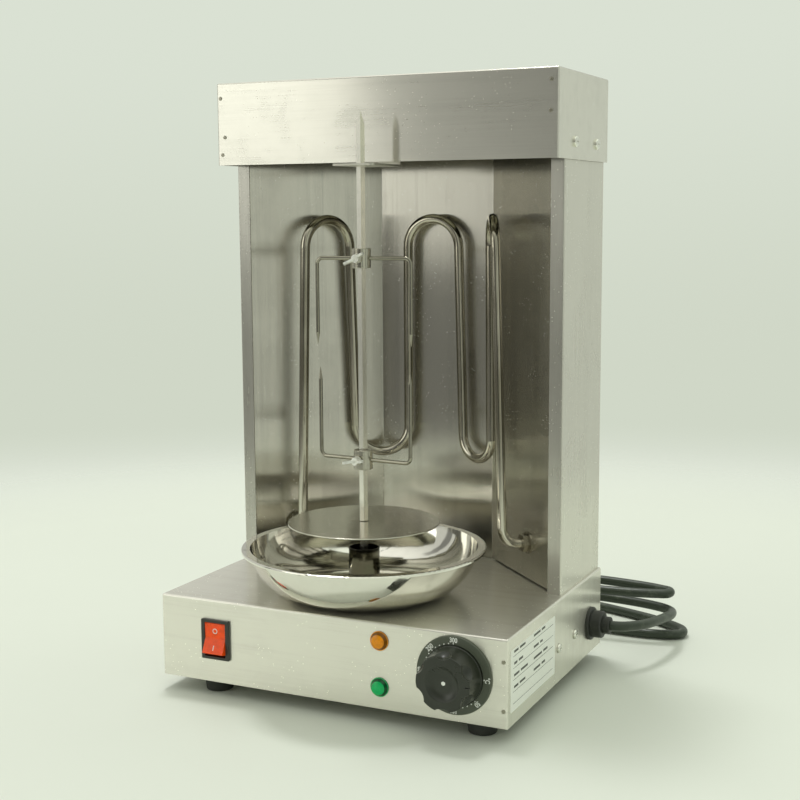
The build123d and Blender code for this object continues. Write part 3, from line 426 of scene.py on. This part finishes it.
def rubber(name, colour, roughness=0.6):
    made, g = material(name)
    skin = g.noise(700.0, detail=3.0)
    bloom = g.noise(45.0, detail=3.0, offset=2.0).smooth(0.4, 0.75)
    # Edges are lightened: partly wear, partly a painted highlight.
    worn_and_lit_edge = g.edges(0.7 * MM).smooth(0.03, 0.3)
    base = g.mix(bloom * 0.35 + worn_and_lit_edge * 0.3, colour, tuple(0.7 * c + 0.06 for c in colour))
    g.finish(g.principled(
        Base_Color=base, Roughness=(skin - 0.5) * 0.2 + roughness,
        Normal=g.bump(skin, 0.04 * MM, 0.6),
    ))
    return made


def cable_sheath():
    """PVC cable sheath: semi-gloss, with the twist of its cores just showing through."""
    made, g = material("cable_sheath")
    skin = g.noise(260.0, detail=3.0)
    twist = g.noise((30.0, 30.0, 90.0), detail=1.0, offset=3.0)
    scuffs = g.noise(60.0, detail=4.0, roughness=0.75, offset=8.0).smooth(0.52, 0.75)
    base = g.mix(scuffs * 0.35, srgb(52, 61, 48), srgb(112, 122, 102))
    normal = g.bump(twist, 0.5 * MM, 0.3, g.bump(skin, 0.03 * MM, 0.5))
    g.finish(g.principled(Base_Color=base, Roughness=(skin - 0.5) * 0.2 + 0.36, Normal=normal))
    return made


def tinted_lens(name, colour, glow=0.0, roughness=0.18, side=0.35):
    """Translucent moulded lens: tinted, slightly cloudy, with a ribbed reflector showing inside, painted
    shade on its sides, and bright edges that are partly wear and partly painted highlight.
    """
    made, g = material(name)
    cloud = g.noise(220.0, detail=3.0)
    ribs = g.cells(900.0, 1.0)
    base = g.mix(cloud.smooth(0.35, 0.7) * 0.4 + ribs * 0.25, colour, tuple(0.45 * c for c in colour))
    # Painted shade: where the lens turns away from the front, its colour darkens to side times itself.
    facing = g.axes(g.normal())[1] * -1.0
    base = g.mix(facing.smooth(0.80, 0.97), tuple(side * c for c in colour), base)
    # Edges are lightened: partly wear, partly a painted highlight.
    worn_and_lit_edge = g.edges(0.4 * MM).smooth(0.03, 0.3)
    base = g.mix(worn_and_lit_edge * 0.4, base, tuple(min(1.0, 1.3 * c + 0.08) for c in colour))
    g.finish(g.principled(
        Base_Color=base, Roughness=(cloud - 0.5) * 0.1 + roughness, Subsurface_Weight=0.35,
        Subsurface_Radius=(0.003, 0.002, 0.001), Subsurface_Scale=0.6, Coat_Weight=0.1,
        Coat_Roughness=0.1, Specular_IOR_Level=0.35, Emission_Color=base, Emission_Strength=glow,
        Normal=g.bump(cloud, 0.02 * MM, 0.4),
    ))
    return made


def printing(name, colour):
    """Printed marks: slightly uneven ink."""
    made, g = material(name)
    ink = g.noise(900.0, detail=3.0)
    base = g.mix(ink.smooth(0.45, 0.8) * 0.35, colour, tuple(0.7 * c for c in colour))
    g.finish(g.principled(Base_Color=base, Roughness=0.5, Normal=g.bump(ink, 0.01 * MM, 0.4)))
    return made


def ceramic():
    made, g = material("ceramic")
    grain = g.noise(650.0, detail=4.0)
    burn = g.noise(120.0, detail=3.0, offset=4.0).smooth(0.5, 0.8)
    base = g.mix(burn * 0.4, srgb(226, 221, 205), srgb(176, 160, 130))
    g.finish(g.principled(
        Base_Color=base, Roughness=(grain - 0.5) * 0.2 + 0.6, Normal=g.bump(grain, 0.05 * MM, 0.6),
    ))
    return made


def braided_sleeve():
    """Glass-fibre sleeving with its diagonal braid."""
    made, g = material("braided_sleeve")
    x, y, z = g.axes(g.place())
    first = ((x + y + z) * 2600.0).math("SINE")
    second = ((x + y - z) * 2600.0).math("SINE")
    weave = first * second
    base = g.mix(weave.smooth(-0.4, 0.6), srgb(150, 146, 130), srgb(222, 219, 204))
    g.finish(g.principled(Base_Color=base, Roughness=0.8, Normal=g.bump(weave, 0.15 * MM, 0.7)))
    return made


def wound_copper():
    """Enamelled winding: turns run round the coil."""
    made, g = material("wound_copper")
    turns = (g.axes(g.place())[2] * 9000.0).math("SINE")
    patches = g.noise(80.0, detail=3.0)
    base = g.mix(patches.smooth(0.4, 0.7), srgb(186, 96, 48), srgb(140, 66, 34))
    g.finish(g.principled(
        Base_Color=base, Metallic=0.8, Roughness=0.34, Normal=g.bump(turns, 0.08 * MM, 0.7),
    ))
    return made


def dark_ferrite():
    made, g = material("dark_ferrite")
    grain = g.noise(500.0, detail=4.0, roughness=0.7)
    base = g.mix(grain.smooth(0.4, 0.7), srgb(48, 48, 48), srgb(74, 73, 70))
    g.finish(g.principled(
        Base_Color=base, Metallic=0.3, Roughness=(grain - 0.5) * 0.3 + 0.55,
        Normal=g.bump(grain, 0.05 * MM, 0.6),
    ))
    return made


STEEL = srgb(224, 222, 212)
finishes = {
    "hood": brushed_steel("hood_steel", "X", STEEL, 0.17, 0.88, side_grain="Z", waves=0.2, stain=0.07,
                          glow=0.26, dusty=0.2, bands=0.22),
    "base": brushed_steel("base_steel", "X", srgb(236, 234, 224), 0.20, 0.88, side_grain="Z", waves=0.2,
                          stain=0.07, glow=0.42, dusty=0.2, bands=0.22),
    "column": brushed_steel("column_steel", "Z", STEEL, 0.26, 0.85, waves=0.12, stain=0.05, glow=0.3,
                            dusty=0.15, front=0.24),
    "reflector": brushed_steel("reflector_steel", "Z", srgb(210, 207, 196), 0.19, 0.97, waves=0.3,
                               stain=0.08, dusty=0.55, bands=0.4),
    "plain": brushed_steel("plain_steel", "X", srgb(196, 194, 182), 0.38, 0.5),
    "bowl": spun_steel("bowl_steel", srgb(230, 228, 219), 0.07),
    "sleeve_tube": polished_steel("sleeve_steel", srgb(92, 90, 76), 0.08, 0.3),
    "disc": brushed_steel("disc_steel", "X", srgb(206, 203, 188), 0.22, 0.5, stain=0.12),
    "bar": drawn_steel("bar_steel", srgb(248, 246, 234), 0.22, stain=0.12),
    "wire": drawn_steel("wire_steel", srgb(158, 155, 140), 0.15, stain=0.3),
    "collar": drawn_steel("collar_steel", srgb(186, 183, 168), 0.18, stain=0.4),
    "heater": heater_sheath(),
    "zinc": cast_metal("zinc_casting", srgb(250, 250, 243), 0.5),
    "screw": cast_metal("plated_screw", srgb(242, 242, 232), 0.18, 300.0),
    "rivet": cast_metal("rivet_head", srgb(158, 155, 140), 0.3, 500.0),
    "fitting": cast_metal("dulled_fitting", srgb(148, 143, 126), 0.24, 500.0),
    "brass": cast_metal("oiled_bronze", srgb(190, 150, 84), 0.34),
    "turned": drawn_steel("turned_steel", srgb(190, 190, 184), 0.3, "X", 0.2),
    "copper": wound_copper(),
    "ferrite": dark_ferrite(),
    "acetal": moulded_plastic("acetal", srgb(226, 222, 206), 0.4),
    "ceramic": ceramic(),
    "black": moulded_plastic("black_plastic", srgb(38, 41, 35), 0.44),
    "dial": moulded_plastic("dial_plastic", srgb(84, 90, 76), 0.50, grain_depth=0.03),
    "knob": moulded_plastic("knob_plastic", srgb(40, 44, 34), 0.30),
    "bezel": moulded_plastic("bezel_plastic", srgb(44, 46, 40), 0.36),
    # The rocker's glow is painted light that brightens the switch.
    "rocker": tinted_lens("rocker_plastic", srgb(240, 78, 8), 0.22, side=0.75),
    "amber": tinted_lens("amber_lens", srgb(220, 140, 0), 0.24, 0.24, 0.22),
    "green": tinted_lens("green_lens", srgb(0, 172, 92), 0.26, 0.24, 0.15),
    "rubber": rubber("black_rubber", srgb(36, 39, 32)),
    "cable": cable_sheath(),
    "sleeve": braided_sleeve(),
    "label": printing("label_stock", srgb(246, 248, 240)),
    "ink": printing("white_ink", srgb(242, 245, 238)),
    # Dark ink for the painted shadow rings round screw heads.
    "painted_shadow": printing("painted_shadow", srgb(58, 56, 46)),
    "grey_ink": printing("grey_ink", srgb(64, 67, 60)),
}

node_finish = {
    "hood": ("hood_shell",),
    "base": ("base_housing",),
    "column": ("column_shell",),
    "reflector": ("reflector",),
    "plain": ("base_bottom_plate", "spit_bracket", "motor_can", "gearbox_cover", "bearing_plate"),
    "bowl": ("drip_bowl",),
    "sleeve_tube": ("bowl_sleeve",),
    "disc": ("meat_disc",),
    "bar": ("spit",),
    "wire": ("upper_fork_prongs", "lower_fork_prongs"),
    "collar": ("upper_fork_collar", "lower_fork_collar", "disc_stop"),
    "heater": ("heater_tube",),
    "zinc": ("upper_thumb_screw", "lower_thumb_screw"),
    "screw": ("bottom_plate_screws", "foot_screws", "column_screws", "hood_screws",
              "motor_mounting", "side_screws", "lamp_nuts", "thermostat_screws", "socket_screw",
              "plug_pins"),
    "rivet": ("panel_rivets",),
    "fitting": ("heater_bushes", "heater_fixings"),
    "brass": ("drive_bush", "output_gear", "thermostat_bulb"),
    "turned": ("drive_socket", "output_shaft", "rotor_shaft", "thermostat_spindle"),
    "copper": ("stator_coil",),
    "ferrite": ("rotor_magnet",),
    "acetal": ("rotor_pinion",),
    "ceramic": ("heater_terminals", "terminal_block"),
    "black": ("cable_gland", "thermostat", "power_plug"),
    "bezel": ("switch_body",),
    "dial": ("dial_ring",),
    "knob": ("knob",),
    "rocker": ("switch_rocker",),
    "amber": ("amber_lamp",),
    "green": ("green_lamp",),
    "rubber": ("rubber_feet", "lead_grommets"),
    "cable": ("power_cable",),
    "sleeve": ("heater_leads",),
    "label": ("rating_plate",),
}

for finish, names in node_finish.items():
    for name in names:
        mesh = nodes[name].data
        mesh.materials.clear()
        mesh.materials.append(finishes[finish])


# Small pieces on top of the frame

def add_piece(name, vertices, faces, body, finish, smooth=False):
    mesh = bpy.data.meshes.new(name)
    mesh.from_pydata(vertices, [], faces)
    mesh.validate()
    for polygon in mesh.polygons:
        polygon.use_smooth = smooth
    mesh.materials.append(finishes[finish])
    made = bpy.data.objects.new(name, mesh)
    bpy.context.scene.collection.objects.link(made)
    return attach(made, body)


# How far raised marks reach into the surface under them, and how their lettering is drawn.
SINK = 0.05 * MM
TEXT_BOLDNESS = 0.03
TEXT_NARROWING = 0.82


class Plate:
    """Collects thin raised shapes drawn in a plane, as one mesh."""

    def __init__(self, origin, right, up, thickness=0.08 * MM):
        self.origin = Vector(origin)
        self.right = Vector(right).normalized()
        self.up = Vector(up).normalized()
        self.out = self.right.cross(self.up)
        self.thickness = thickness
        self.vertices = []
        self.faces = []

    def point(self, x, y, height):
        return self.origin + self.right * x + self.up * y + self.out * height

    def loops(self, rings, closed_top=True):
        """Joins rings of points, each given as (x, y, height), into a shell."""
        first = len(self.vertices)
        count = len(rings[0])
        for points in rings:
            self.vertices += [self.point(*p) for p in points]
        for level in range(len(rings) - 1):
            for i in range(count):
                j = (i + 1) % count
                a, b = first + level * count, first + (level + 1) * count
                self.faces.append((a + i, a + j, b + j, b + i))
        if closed_top:
            top = first + (len(rings) - 1) * count
            self.faces.append(tuple(range(top, top + count)))
            self.faces.append(tuple(range(first + count - 1, first - 1, -1)))

    def patch(self, outline):
        """A flat raised shape from its outline, counterclockwise."""
        low = [(x, y, -SINK) for x, y in outline]
        high = [(x, y, self.thickness) for x, y in outline]
        self.loops([low, high])

    def disc(self, x, y, radius, steps=20):
        turns = [2 * math.pi * i / steps for i in range(steps)]
        self.patch([(x + radius * math.cos(t), y + radius * math.sin(t)) for t in turns])

    def bar(self, x, y, width, height):
        w, h = width / 2, height / 2
        self.patch([(x - w, y - h), (x + w, y - h), (x + w, y + h), (x - w, y + h)])

    def ring(self, x, y, outer, inner, steps=48):
        """A raised ring with a rectangular section."""
        turns = [2 * math.pi * i / steps for i in range(steps)]

        def circle(radius, height):
            return [(x + radius * math.cos(t), y + radius * math.sin(t), height) for t in turns]

        top, low = self.thickness, -SINK
        rings = [circle(outer, low), circle(outer, top), circle(inner, top), circle(inner, low)]
        self.loops([*rings, rings[0]], closed_top=False)

    def text(self, words, x, y, size, turn=0.0):
        """Raised lettering centred on a point and turned clockwise."""
        curve = bpy.data.curves.new("words", "FONT")
        curve.body = words
        curve.size = size
        curve.extrude = self.thickness / 2
        curve.offset = size * TEXT_BOLDNESS
        curve.align_x = "CENTER"
        curve.align_y = "CENTER"
        holder = bpy.data.objects.new("words", curve)
        bpy.context.scene.collection.objects.link(holder)
        bpy.context.view_layer.update()
        mesh = holder.to_mesh()
        first = len(self.vertices)
        cos, sin = math.cos(-turn), math.sin(-turn)
        for vertex in mesh.vertices:
            px, py, pz = vertex.co
            px *= TEXT_NARROWING
            across_x, along_y = x + px * cos - py * sin, y + px * sin + py * cos
            self.vertices.append(self.point(across_x, along_y, pz + self.thickness / 2))
        self.faces += [tuple(first + i for i in polygon.vertices) for polygon in mesh.polygons]
        holder.to_mesh_clear()
        bpy.data.objects.remove(holder)
        bpy.data.curves.remove(curve)

    def build(self, name, body, finish):
        return add_piece(name, self.vertices, self.faces, body, finish)


def touch(node, start, direction):
    """Where a straight line meets a CAD node, and the surface's normal there."""
    hit, point, normal, _ = nodes[node].ray_cast(Vector(start), Vector(direction))
    if not hit:
        raise ValueError(f"the line misses {node}")
    return point, normal


RIGHT, BACK, UP = Vector((1, 0, 0)), Vector((0, 1, 0)), Vector((0, 0, 1))

# Dial marks: angles are in degrees, clockwise from the top.
DIAL_NUMBERS = {0: "300", -45: "250", -90: "200", -135: "150", 180: "100", 135: "50", 90: "\u00b0C"}
DIAL_TEXT_RADIUS = 25.9 * MM
DIAL_TEXT_SIZE = 4.9 * MM
DIAL_DOT_RADIUS = 23.5 * MM
DIAL_DOT_SIZE = 0.52 * MM
DIAL_DOT_ANGLES = range(135, 361, 9)
DIAL_UNIT_DOT_SIZE = 0.6 * MM
KNOB_DOT_SIZE = 1.5 * MM


def dial_marks():
    """Temperatures round the dial, with a row of dots inside them."""
    low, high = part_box("dial_ring")
    centre = (low + high) / 2
    plate = Plate((centre.x, low.y, centre.z), RIGHT, UP, 0.06 * MM)
    for angle, words in DIAL_NUMBERS.items():
        turn = math.radians(angle)
        plate.text(words, DIAL_TEXT_RADIUS * math.sin(turn), DIAL_TEXT_RADIUS * math.cos(turn),
                   DIAL_TEXT_SIZE, turn)
    for angle in DIAL_DOT_ANGLES:
        turn = math.radians(angle)
        plate.disc(DIAL_DOT_RADIUS * math.sin(turn), DIAL_DOT_RADIUS * math.cos(turn), DIAL_DOT_SIZE)
    plate.disc(DIAL_DOT_RADIUS, 0, DIAL_UNIT_DOT_SIZE)
    plate.build("dial_numbers", "base", "ink")


def knob_marks():
    """A plain dot in the middle of the knob's dished face."""
    low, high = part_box("knob")
    centre = (low + high) / 2
    face, _ = touch("knob", (centre.x, low.y - 0.1, centre.z), BACK)
    plate = Plate((centre.x, face.y, centre.z), RIGHT, UP, 0.12 * MM)
    plate.disc(0, 0, KNOB_DOT_SIZE, 32)
    plate.build("knob_dot", "knob", "ink")


# Rocker marks: heights from the rocker's middle, the ring's radii, and the bar's size.
OFF_MARK_HEIGHT, ON_MARK_HEIGHT = 6.2 * MM, -6.4 * MM
OFF_RING = (2.1 * MM, 1.55 * MM)
ON_BAR = (0.6 * MM, 4.0 * MM)


def rocker_marks():
    """A ring on the rocker's upper half and a bar on its lower half."""
    low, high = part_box("switch_rocker")
    centre = (low + high) / 2
    for name, height in (("rocker_off_mark", OFF_MARK_HEIGHT), ("rocker_on_mark", ON_MARK_HEIGHT)):
        start = (centre.x, low.y - 0.1, centre.z + height)
        point, normal = touch("switch_rocker", start, BACK)
        up = (UP - normal * UP.dot(normal)).normalized()
        plate = Plate(point, up.cross(normal), up, 0.08 * MM)
        if height > 0:
            plate.ring(0, 0, *OFF_RING, 32)
        else:
            plate.bar(0, 0, *ON_BAR)
        plate.build(name, "rocker", "ink")


# Label marks: shares of the label's length or height, apart from the sizes in millimetres.
LABEL_ROWS = 5
LABEL_MARGIN = 0.05
LABEL_LOW_ROW, LABEL_ROW_SPAN = 0.12, 0.76
LABEL_RULE = 0.3 * MM
LABEL_BARS = ((0.07, (0.09, 0.12)), (0.50, (0.15, 0.08)))
BAR_RISE, BAR_HEIGHT, BAR_GAP = 3.2 * MM, 1.7 * MM, 3.0 * MM


def label_lines():
    """Ruled lines and short grey bars on the label, with no wording."""
    low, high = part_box("rating_plate")
    length, height = high.y - low.y, high.z - low.z
    plate = Plate((high.x, low.y, low.z), BACK, UP, 0.03 * MM)
    left, right = LABEL_MARGIN * length, (1 - LABEL_MARGIN) * length
    for row in range(LABEL_ROWS):
        y = height * (LABEL_LOW_ROW + LABEL_ROW_SPAN * row / (LABEL_ROWS - 1))
        plate.bar((left + right) / 2, y, right - left, LABEL_RULE)
        if row == 0:
            continue
        for start, words in LABEL_BARS:
            x = start * length
            for share in words:
                width = share * length * (1.0 + 0.25 * ((row * 7) % 3 - 1))
                plate.bar(x + width / 2, y + BAR_RISE, width, BAR_HEIGHT)
                x += width + BAR_GAP
    plate.build("label_lines", "base", "grey_ink")


# Painted shadow rings round the screw heads on the side panels: the screws' node, the sheet that they sit
# in, and the ring's radius.
SHADOW_RING = (("hood_screws", "hood_shell", 4.3 * MM), ("side_screws", "base_housing", 3.9 * MM))
SHADOW_RING_WIDTH = 1.2 * MM
SCREW_GAP = 15 * MM


def side_heads(node):
    """Each side panel's screws in a node, as (side, depth, height) of their middles."""
    reach = 0.5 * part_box(node)[1].x
    found = []
    for side in (-1, 1):
        points = sorted((v.co.y, v.co.z) for v in nodes[node].data.vertices if v.co.x * side > reach)
        while points:
            head = [p for p in points if p[0] < points[0][0] + SCREW_GAP]
            points = points[len(head):]
            heights = [z for _, z in head]
            found.append((side, (head[0][0] + head[-1][0]) / 2, (min(heights) + max(heights)) / 2))
    return found


def screw_painted_shadow():
    """A thin dark ring of painted shadow round each screw head on the side panels."""
    for node, sheet, radius in SHADOW_RING:
        for index, (side, y, z) in enumerate(side_heads(node)):
            outside = (2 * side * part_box(node)[1].x, y + radius, z)
            point, _ = touch(sheet, outside, RIGHT * -side)
            plate = Plate((point.x, y, z), BACK * side, UP, 0.05 * MM)
            plate.ring(0, 0, radius, radius - SHADOW_RING_WIDTH, 32)
            plate.build(f"{node}_grime_{index}", "base", "painted_shadow")


screw_painted_shadow()
dial_marks()
knob_marks()
rocker_marks()
label_lines()


# Stage, light and camera

# What the metal reflects, in degrees: azimuth 0 is in front of the machine and grows to its right, and
# height 0 is the horizon. Light is in multiples of the room's white.
ROOM_LIGHT = 0.66
CEILING_LIGHT = 0.45
WALL_LEAN, DARK_WALL_LEAN = 0.3, 0.5
BRIGHT_WALL, BRIGHT_WALL_TOP, BRIGHT_WALL_LIGHT = (-52, -25.3), (24, 32), 1.2
GREY_WALL, GREY_WALL_TOP, GREY_WALL_SHADE = (-25.3, 14), (30, 50), 0.28
DARK_WALL, DARK_WALL_TOP, DARK_WALL_SHADE = (-18.9, 10), (20, 40), 0.22
SKIRTING, SKIRTING_HEIGHT, SKIRTING_SHADE = (-70, 22), (-11, -1.6), 0.46
RIGHT_WALL, RIGHT_WALL_HEIGHT, RIGHT_WALL_LIGHT = (40, 180), (-5, 60), 0.08
BACK_WALL, BACK_WALL_HEIGHT, BACK_WALL_SHADE = (-190, -130), (4, 46), 0.16
CARD_HEIGHT, CARD_SHADE = (-9, 48), 0.42
# Azimuths of tall dark cards that give round metal its dark lines.
DARK_CARDS = ((9, 16), (34, 45), (74, 86), (104, 116), (-78, -70))


def studio_world():
    """A pale backdrop for the camera, and a studio with soft boxes and a dark side for reflections."""
    world = bpy.data.worlds.new("studio")
    bpy.context.scene.world = world
    g = Graph(world)
    x, y, z = g.axes(g.add("TexCoord").outputs["Generated"])
    degrees = 180 / math.pi
    round_z = x.math("ARCTAN2", y * -1.0) * degrees
    up = z.math("ARCSINE") * degrees
    lean = round_z + up * WALL_LEAN
    above = up.smooth(-2.5, 0.0)

    def wall(way, sides, soft, top):
        """1 on a wall that stands on the horizon, between two azimuths and under a soft top."""
        return way.window(*sides, soft) * above * (1 - up.smooth(*top))

    light = ROOM_LIGHT + up.smooth(25, 70) * CEILING_LIGHT
    light = light + wall(lean, BRIGHT_WALL, 0.6, BRIGHT_WALL_TOP) * BRIGHT_WALL_LIGHT
    light = light - wall(lean, GREY_WALL, 0.6, GREY_WALL_TOP) * GREY_WALL_SHADE
    leaning = round_z + up * DARK_WALL_LEAN
    light = light - wall(leaning, DARK_WALL, 0.8, DARK_WALL_TOP) * DARK_WALL_SHADE
    light = light - round_z.window(*SKIRTING, 6) * up.window(*SKIRTING_HEIGHT, 1.2) * SKIRTING_SHADE
    light = light + round_z.window(*RIGHT_WALL, 12) * up.window(*RIGHT_WALL_HEIGHT, 8) * RIGHT_WALL_LIGHT
    light = light - round_z.window(*BACK_WALL, 8) * up.window(*BACK_WALL_HEIGHT, 6) * BACK_WALL_SHADE
    for left, right in DARK_CARDS:
        light = light - round_z.window(left, right, 1.5) * up.window(*CARD_HEIGHT, 3) * CARD_SHADE
    far = g.mix(up.smooth(-6.5, 8), srgb(208, 215, 199), srgb(218, 225, 211))
    backdrop = g.mix(up.smooth(-11.5, -8.5), srgb(225, 231, 218), far)
    seen = g.shader("Background", Color=backdrop, Strength=1.0)
    tint = g.mix(round_z.window(18, 190, 12), srgb(252, 253, 244), srgb(247, 253, 240))
    lit = g.shader("Background", Color=tint, Strength=light)
    choose = g.add("MixShader")
    g.put(choose.inputs[0], g.add("LightPath").outputs["Is Camera Ray"])
    g.put(choose.inputs[1], lit)
    g.put(choose.inputs[2], seen)
    g.finish(choose.outputs[0])


FLOOR_RADIUS = 1.15
FLOOR_FADE = 0.5


def studio_floor():
    """A round matt floor whose rim fades into the backdrop."""
    mesh = bpy.data.meshes.new("floor")
    steps = 96
    height = cad_box[0].z
    rim = [(FLOOR_RADIUS * math.cos(2 * math.pi * i / steps),
            FLOOR_RADIUS * math.sin(2 * math.pi * i / steps), height) for i in range(steps)]
    mesh.from_pydata(rim, [], [list(range(steps))])
    floor = bpy.data.objects.new("floor", mesh)
    bpy.context.scene.collection.objects.link(floor)
    made, g = material("floor")
    x, y, _ = g.axes(g.place())
    away = (x * x + y * y).power(0.5)
    fade = away.smooth(FLOOR_RADIUS - FLOOR_FADE, FLOOR_RADIUS)
    paper = g.noise(30.0, detail=3.0)
    base = g.mix(paper * 0.06, srgb(222, 227, 216), srgb(208, 212, 201))
    matt = g.principled(Base_Color=base, Roughness=0.55, Normal=g.bump(paper, 0.1 * MM, 0.2))
    choose = g.add("MixShader")
    g.put(choose.inputs[0], fade)
    g.put(choose.inputs[1], matt)
    g.put(choose.inputs[2], g.shader("BsdfTransparent"))
    g.finish(choose.outputs[0])
    mesh.materials.append(made)


KEY_LIGHT_PLACE = (-0.58, 0.58, 3.2)
KEY_LIGHT_AIM = (0, -0.05, 0.05)
KEY_LIGHT_SIZE = (0.60, 0.50)
KEY_LIGHT_WATTS = 34.0


def soft_box(name, place, aim, size, watts):
    light = bpy.data.lights.new(name, "AREA")
    light.shape = "RECTANGLE"
    light.size, light.size_y = size
    light.energy = watts
    holder = bpy.data.objects.new(name, light)
    bpy.context.scene.collection.objects.link(holder)
    holder.location = place
    holder.rotation_mode = "QUATERNION"
    holder.rotation_quaternion = (Vector(aim) - Vector(place)).to_track_quat("-Z", "Y")


# The camera: its place in metres, its turns in degrees, and its lens in millimetres.
CAMERA_PLACE = Vector((0.47419, -0.97546, 0.36043))
CAMERA_YAW = 25.39
CAMERA_PITCH = -7.79
CAMERA_ROLL = -0.34
CAMERA_LENS = 61.85


def photo_camera():
    yaw, pitch, roll = (math.radians(a) for a in (CAMERA_YAW, CAMERA_PITCH, CAMERA_ROLL))
    ahead = Vector((-math.sin(yaw) * math.cos(pitch), math.cos(yaw) * math.cos(pitch), math.sin(pitch)))
    right = Vector((math.cos(yaw), math.sin(yaw), 0))
    up = right.cross(ahead)
    right, up = right * math.cos(roll) + up * math.sin(roll), up * math.cos(roll) - right * math.sin(roll)
    data = bpy.data.cameras.new("camera")
    data.lens = CAMERA_LENS
    data.clip_start = 0.01
    camera = bpy.data.objects.new("camera", data)
    bpy.context.scene.collection.objects.link(camera)
    turn = Matrix((right, up, -ahead)).transposed().to_4x4()
    camera.matrix_world = Matrix.Translation(CAMERA_PLACE) @ turn
    bpy.context.scene.camera = camera


studio_world()
studio_floor()
soft_box("overhead", KEY_LIGHT_PLACE, KEY_LIGHT_AIM, KEY_LIGHT_SIZE, KEY_LIGHT_WATTS)
photo_camera()
bpy.context.scene.view_settings.view_transform = "Standard"
